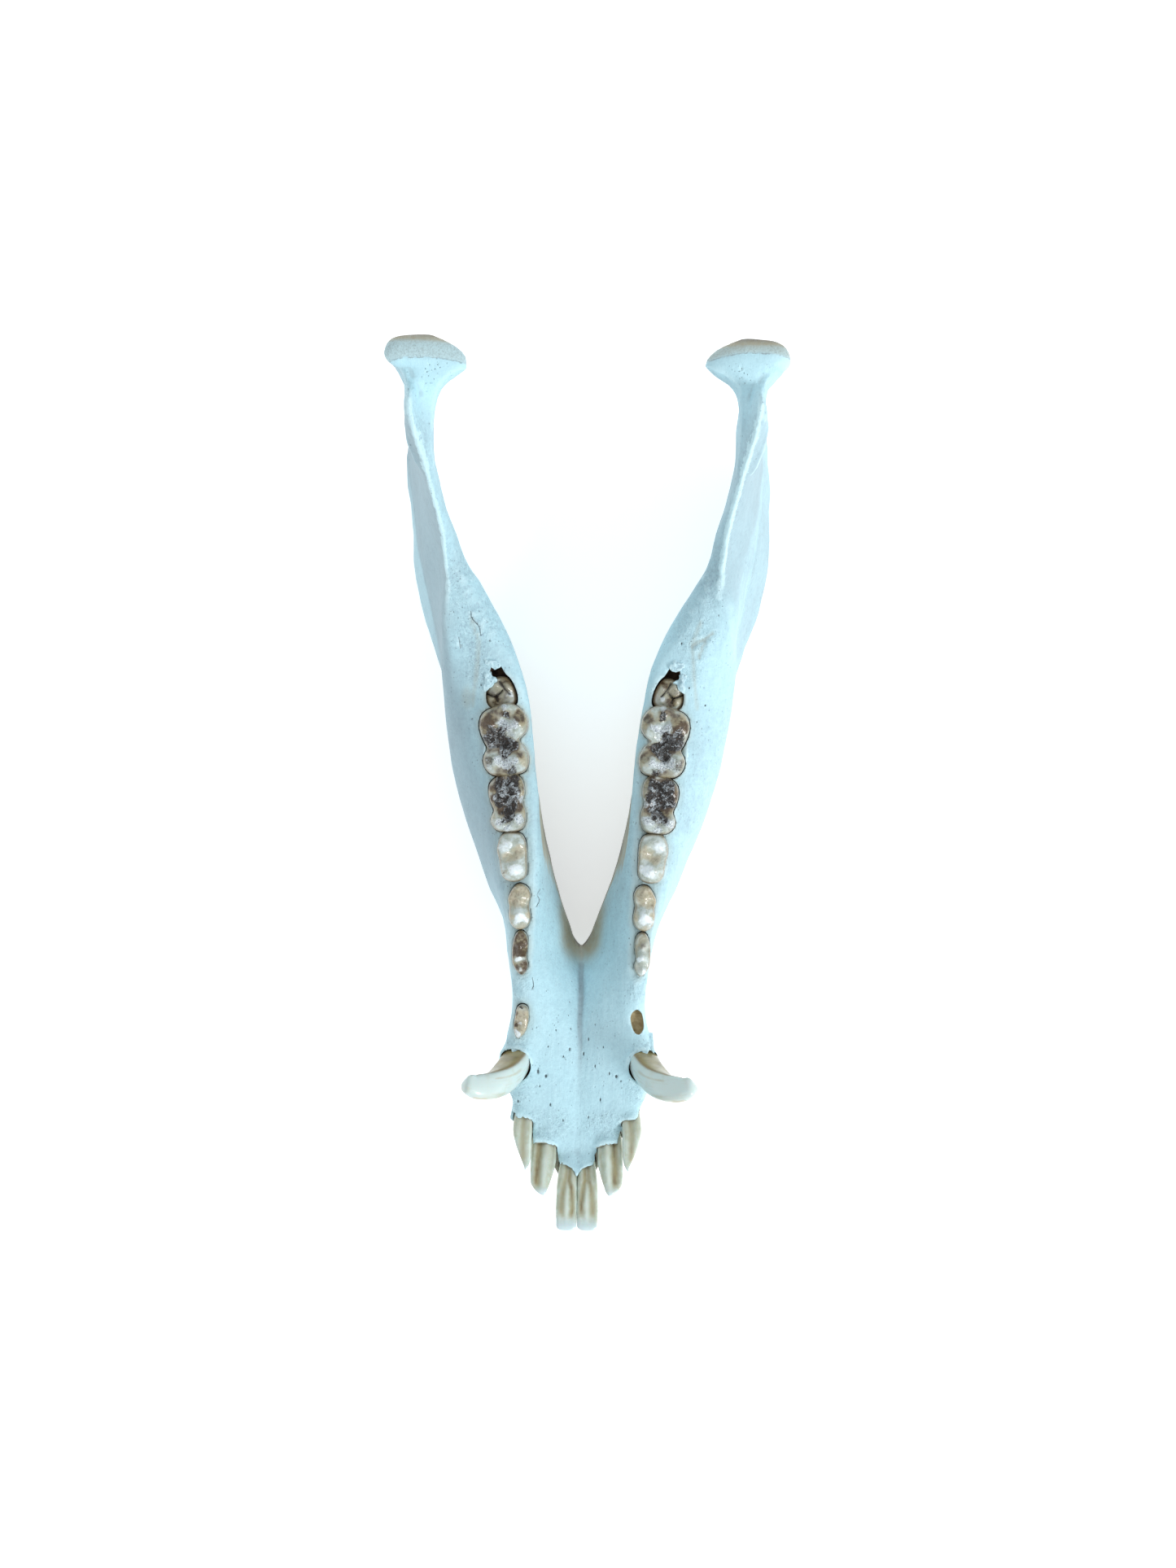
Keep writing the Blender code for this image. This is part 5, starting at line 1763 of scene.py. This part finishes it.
def on_sweep(points, sweep):
    """Where points lie on a finished tube: their shares of its path, and how far right and
    over the middle they are in half widths."""
    shares = np.linspace(0, 1, 200)
    line = along(sweep.rows, shares)[:, :3]
    nearest = np.linalg.norm(points[:, None] - line[None], axis=2).argmin(axis=1)
    share, middle = shares[nearest], line[nearest]
    one, none = np.ones(len(share)), np.zeros(len(share))
    offset = points - middle
    right, over = (
        np.einsum("ij,ij->i", offset, way) / np.einsum("ij,ij->i", way, way)
        for way in (sweep.place(share, *step) - middle for step in ((one, none), (none, one)))
    )
    return share, right, over


def edge_turn(share):
    """Where the tusk's sharp edge runs: over it at the root, behind it at the tip."""
    return math.radians(48) - math.radians(36) * fade(share, 0.4, 0.82)


def from_edge(turn, share):
    """A turn round the tusk as an angle from its sharp edge, from minus to plus half a turn."""
    return (turn - edge_turn(share) + math.pi) % math.tau - math.pi


def tusk_section(turn, share):
    """A rounded triangle with one sharp edge."""
    angle = from_edge(turn, share)
    corner = 0.10 + 0.2 * fade(share, 0.86, 0.98)
    reach = 0.98 + 0.07 * np.cos(3 * angle) + corner * np.exp(-((angle / 0.36) ** 2))
    return reach * np.cos(turn), reach * np.sin(turn)


def tusk(side_name, finish):
    """One tusk, curved outwards and up, with an edge between its front and its worn back."""
    sweep = Sweep(TUSK, SIDES[side_name])
    obj = tube("tusk_" + side_name, sweep, 96, 120, tusk_section)
    surface = Surface(obj)
    share, right, over = on_sweep(surface.points, sweep)
    angle = from_edge(np.arctan2(over, right), share)
    back = fade(angle, 0.04, -0.12) * fade(angle, -2.2, -1.9) * fade(share, 0.99, 0.9)
    surface.paint("back", back)
    surface.paint("line", np.exp(-(((angle + 0.07) / 0.09) ** 2)) * fade(share, 1.0, 0.9))
    drawn = np.stack([9 * share, 5 * angle, 0 * share], axis=1)
    streaks = fade(waves(drawn, 1.6, 21) + 0.5 * waves(drawn * 2.7, 1.6, 23), 0.15, 0.9)
    low = fade(angle, 1.3, 2.4) * fade(share, 0.96, 0.7)
    surface.paint("stain", 0.5 * streaks * fade(share, 0.98, 0.85) + 0.4 * low)
    lift = 0.06 * waves(surface.points, 2.2, 22)
    surface.points += surface.normals * lift[:, None]
    surface.write()
    return shaded(obj, finish)


# The stage, in metres: the floor's side, and the camera's turn in degrees and sideways shift.
FLOOR_SIZE = 6
CAMERA_TURN = 0.8
CAMERA_SHIFT = 0.00275
# Each light's place and size, and the spot that both look at.
LIGHTS = {"key_light": ((0.8, -0.62, 0.7), 0.4), "fill_light": ((-0.2, 0.3, 1.2), 1.2)}
LIGHT_AIM = (0, 0, 0.04)
SKY_COLOUR = (0.95, 0.98, 1.0, 1)
SKY_STRENGTH = 0.7


# The settings, operators and panel.


def colour_setting(name, description, colour):
    """A colour that the panel shows."""
    return FloatVectorProperty(
        name=name, description=description, subtype="COLOR", default=colour, min=0, max=1,
    )


class BoneSettings(bpy.types.PropertyGroup):
    """The grain and the colours of the bone."""

    voxel: FloatProperty(
        name="Grain of the Bone", description="Edge of the voxels that the bone is made of",
        default=0.00092, min=0.0009, max=0.002, unit="LENGTH",
    )
    colour: colour_setting("Bone", "Colour of clean bone", tint(183, 221, 232)[:3])
    cool_colour: colour_setting("Cool Bone", "Colour of the bluer patches", tint(171, 202, 212)[:3])
    # The grey that the shade mask lays on: painted shade on the right side's outer faces, the left
    # branch and its flange, and the seam and faint grey patches.
    shade_colour: colour_setting("Grey Bone", "Colour of weathered bone", tint(144, 164, 174)[:3])


class TeethSettings(bpy.types.PropertyGroup):
    """The colours of the teeth."""

    enamel_colour: colour_setting("Enamel", "Colour of unstained enamel", tint(172, 182, 172)[:3])
    tusk_colour: colour_setting(
        "Tusk Front", "Colour of the front of a tusk", tint(202, 221, 219)[:3],
    )
    dentine_colour: colour_setting(
        "Tusk Back", "Colour of the worn back of a tusk", tint(160, 149, 106)[:3],
    )


class StageSettings(bpy.types.PropertyGroup):
    """The floor, the camera and the lights."""

    floor_colour: colour_setting("Floor", "Colour of the floor", (0.93, 0.93, 0.93))
    camera_height: FloatProperty(
        name="Camera Height", description="Height of the camera over the floor",
        default=0.572, min=0.2, max=3.0, unit="LENGTH",
    )
    lens: FloatProperty(
        name="Lens", description="Focal length of the camera in millimetres",
        default=40.48, min=10, max=200,
    )
    key_power: FloatProperty(
        name="Key Light", description="Power of the light from the jaw's left", default=8.2,
        min=0, max=100,
    )
    fill_power: FloatProperty(
        name="Fill Light", description="Power of the light from above", default=1.5,
        min=0, max=100,
    )


class JAW_OT_bone(bpy.types.Operator):
    """Make the bone of the jaw, with sockets, pits, seams and cracks"""

    bl_idname = "jaw.bone"
    bl_label = "Bone"

    def execute(self, context):
        settings = context.scene.jaw_bone
        bone = bare_bone(settings.voxel)
        carve_bone(bone)
        finish = bone_material(settings)
        open_sockets(bone, [finish, lining_material()])
        paint_bone(bone)
        finished(bone)
        for name in CHIPS:
            for side_name in SIDES:
                chips(name, side_name, finish)
        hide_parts("mandible")
        return {"FINISHED"}


class JAW_OT_cheek_teeth(bpy.types.Operator):
    """Make the premolars and molars of both sides"""

    bl_idname = "jaw.cheek_teeth"
    bl_label = "Cheek Teeth"

    def execute(self, context):
        finish = enamel_material(context.scene.jaw_teeth)
        for kind, side_name, outline in standing_teeth():
            cheek_tooth(kind, side_name, outline, finish)
        return {"FINISHED"}


class JAW_OT_incisors(bpy.types.Operator):
    """Make the six front teeth"""

    bl_idname = "jaw.incisors"
    bl_label = "Incisors"

    def execute(self, context):
        finish = incisor_material(context.scene.jaw_teeth)
        for name in INCISORS:
            for side_name in SIDES:
                incisor(name, side_name, finish)
        return {"FINISHED"}


class JAW_OT_tusks(bpy.types.Operator):
    """Make the two tusks"""

    bl_idname = "jaw.tusks"
    bl_label = "Tusks"

    def execute(self, context):
        finish = tusk_material(context.scene.jaw_teeth)
        for side_name in SIDES:
            made = tusk(side_name, finish)
            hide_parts("canine_" + side_name)
        return {"FINISHED"}


class JAW_OT_stage(bpy.types.Operator):
    """Make the floor, the lights and the camera"""

    bl_idname = "jaw.stage"
    bl_label = "Stage"

    def execute(self, context):
        settings = context.scene.jaw_stage
        scene = context.scene
        bpy.ops.mesh.primitive_plane_add(size=FLOOR_SIZE)
        floor = named(context.object, "studio_floor")
        floor.data.materials.append(floor_material(settings.floor_colour))
        bpy.ops.object.camera_add(
            location=(0, STATION_ZERO * MM, settings.camera_height),
            rotation=(0, 0, math.radians(CAMERA_TURN)),
        )
        camera = named(context.object, "photo_camera")
        camera.data.lens = settings.lens
        camera.data.shift_x = CAMERA_SHIFT
        scene.camera = camera
        powers = {"key_light": settings.key_power, "fill_light": settings.fill_power}
        for name, (place, size) in LIGHTS.items():
            bpy.ops.object.light_add(type="AREA", location=place)
            light = named(context.object, name)
            look = Vector(LIGHT_AIM) - Vector(place)
            light.rotation_euler = look.to_track_quat("-Z", "Y").to_euler()
            light.data.shape = "DISK"
            light.data.size = size
            light.data.energy = powers[name]
        world = bpy.data.worlds.new("studio")
        world.use_nodes = True
        sky = world.node_tree.nodes["Background"]
        sky.inputs["Color"].default_value = SKY_COLOUR
        sky.inputs["Strength"].default_value = SKY_STRENGTH
        scene.world = world
        scene.view_settings.view_transform = "Standard"
        return {"FINISHED"}


class JAW_PT_panel(bpy.types.Panel):
    """Lists the pieces of the jaw and their settings"""

    bl_label = "Boar Jaw"
    bl_idname = "JAW_PT_panel"
    bl_space_type = "VIEW_3D"
    bl_region_type = "UI"
    bl_category = "Boar Jaw"

    def draw(self, context):
        for operator in OPERATORS:
            self.layout.operator(operator.bl_idname)
        for group in ("jaw_bone", "jaw_teeth", "jaw_stage"):
            box = self.layout.box()
            settings = getattr(context.scene, group)
            for name in settings.__annotations__:
                box.prop(settings, name)


OPERATORS = (JAW_OT_bone, JAW_OT_cheek_teeth, JAW_OT_incisors, JAW_OT_tusks, JAW_OT_stage)
GROUPS = {"jaw_bone": BoneSettings, "jaw_teeth": TeethSettings, "jaw_stage": StageSettings}


def register():
    """Adds the settings, the operators and the panel."""
    for group in GROUPS.values():
        bpy.utils.register_class(group)
    for name, group in GROUPS.items():
        setattr(bpy.types.Scene, name, PointerProperty(type=group))
    for operator in OPERATORS:
        bpy.utils.register_class(operator)
    bpy.utils.register_class(JAW_PT_panel)


def unregister():
    """Takes the panel, the operators and the settings away again."""
    bpy.utils.unregister_class(JAW_PT_panel)
    for operator in reversed(OPERATORS):
        bpy.utils.unregister_class(operator)
    for name in GROUPS:
        delattr(bpy.types.Scene, name)
    for group in reversed(GROUPS.values()):
        bpy.utils.unregister_class(group)


def main():
    """Builds the jaw and its stage."""
    register()
    bpy.ops.jaw.bone()
    bpy.ops.jaw.cheek_teeth()
    bpy.ops.jaw.incisors()
    bpy.ops.jaw.tusks()
    bpy.ops.jaw.stage()


if __name__ == "__main__":
    main()
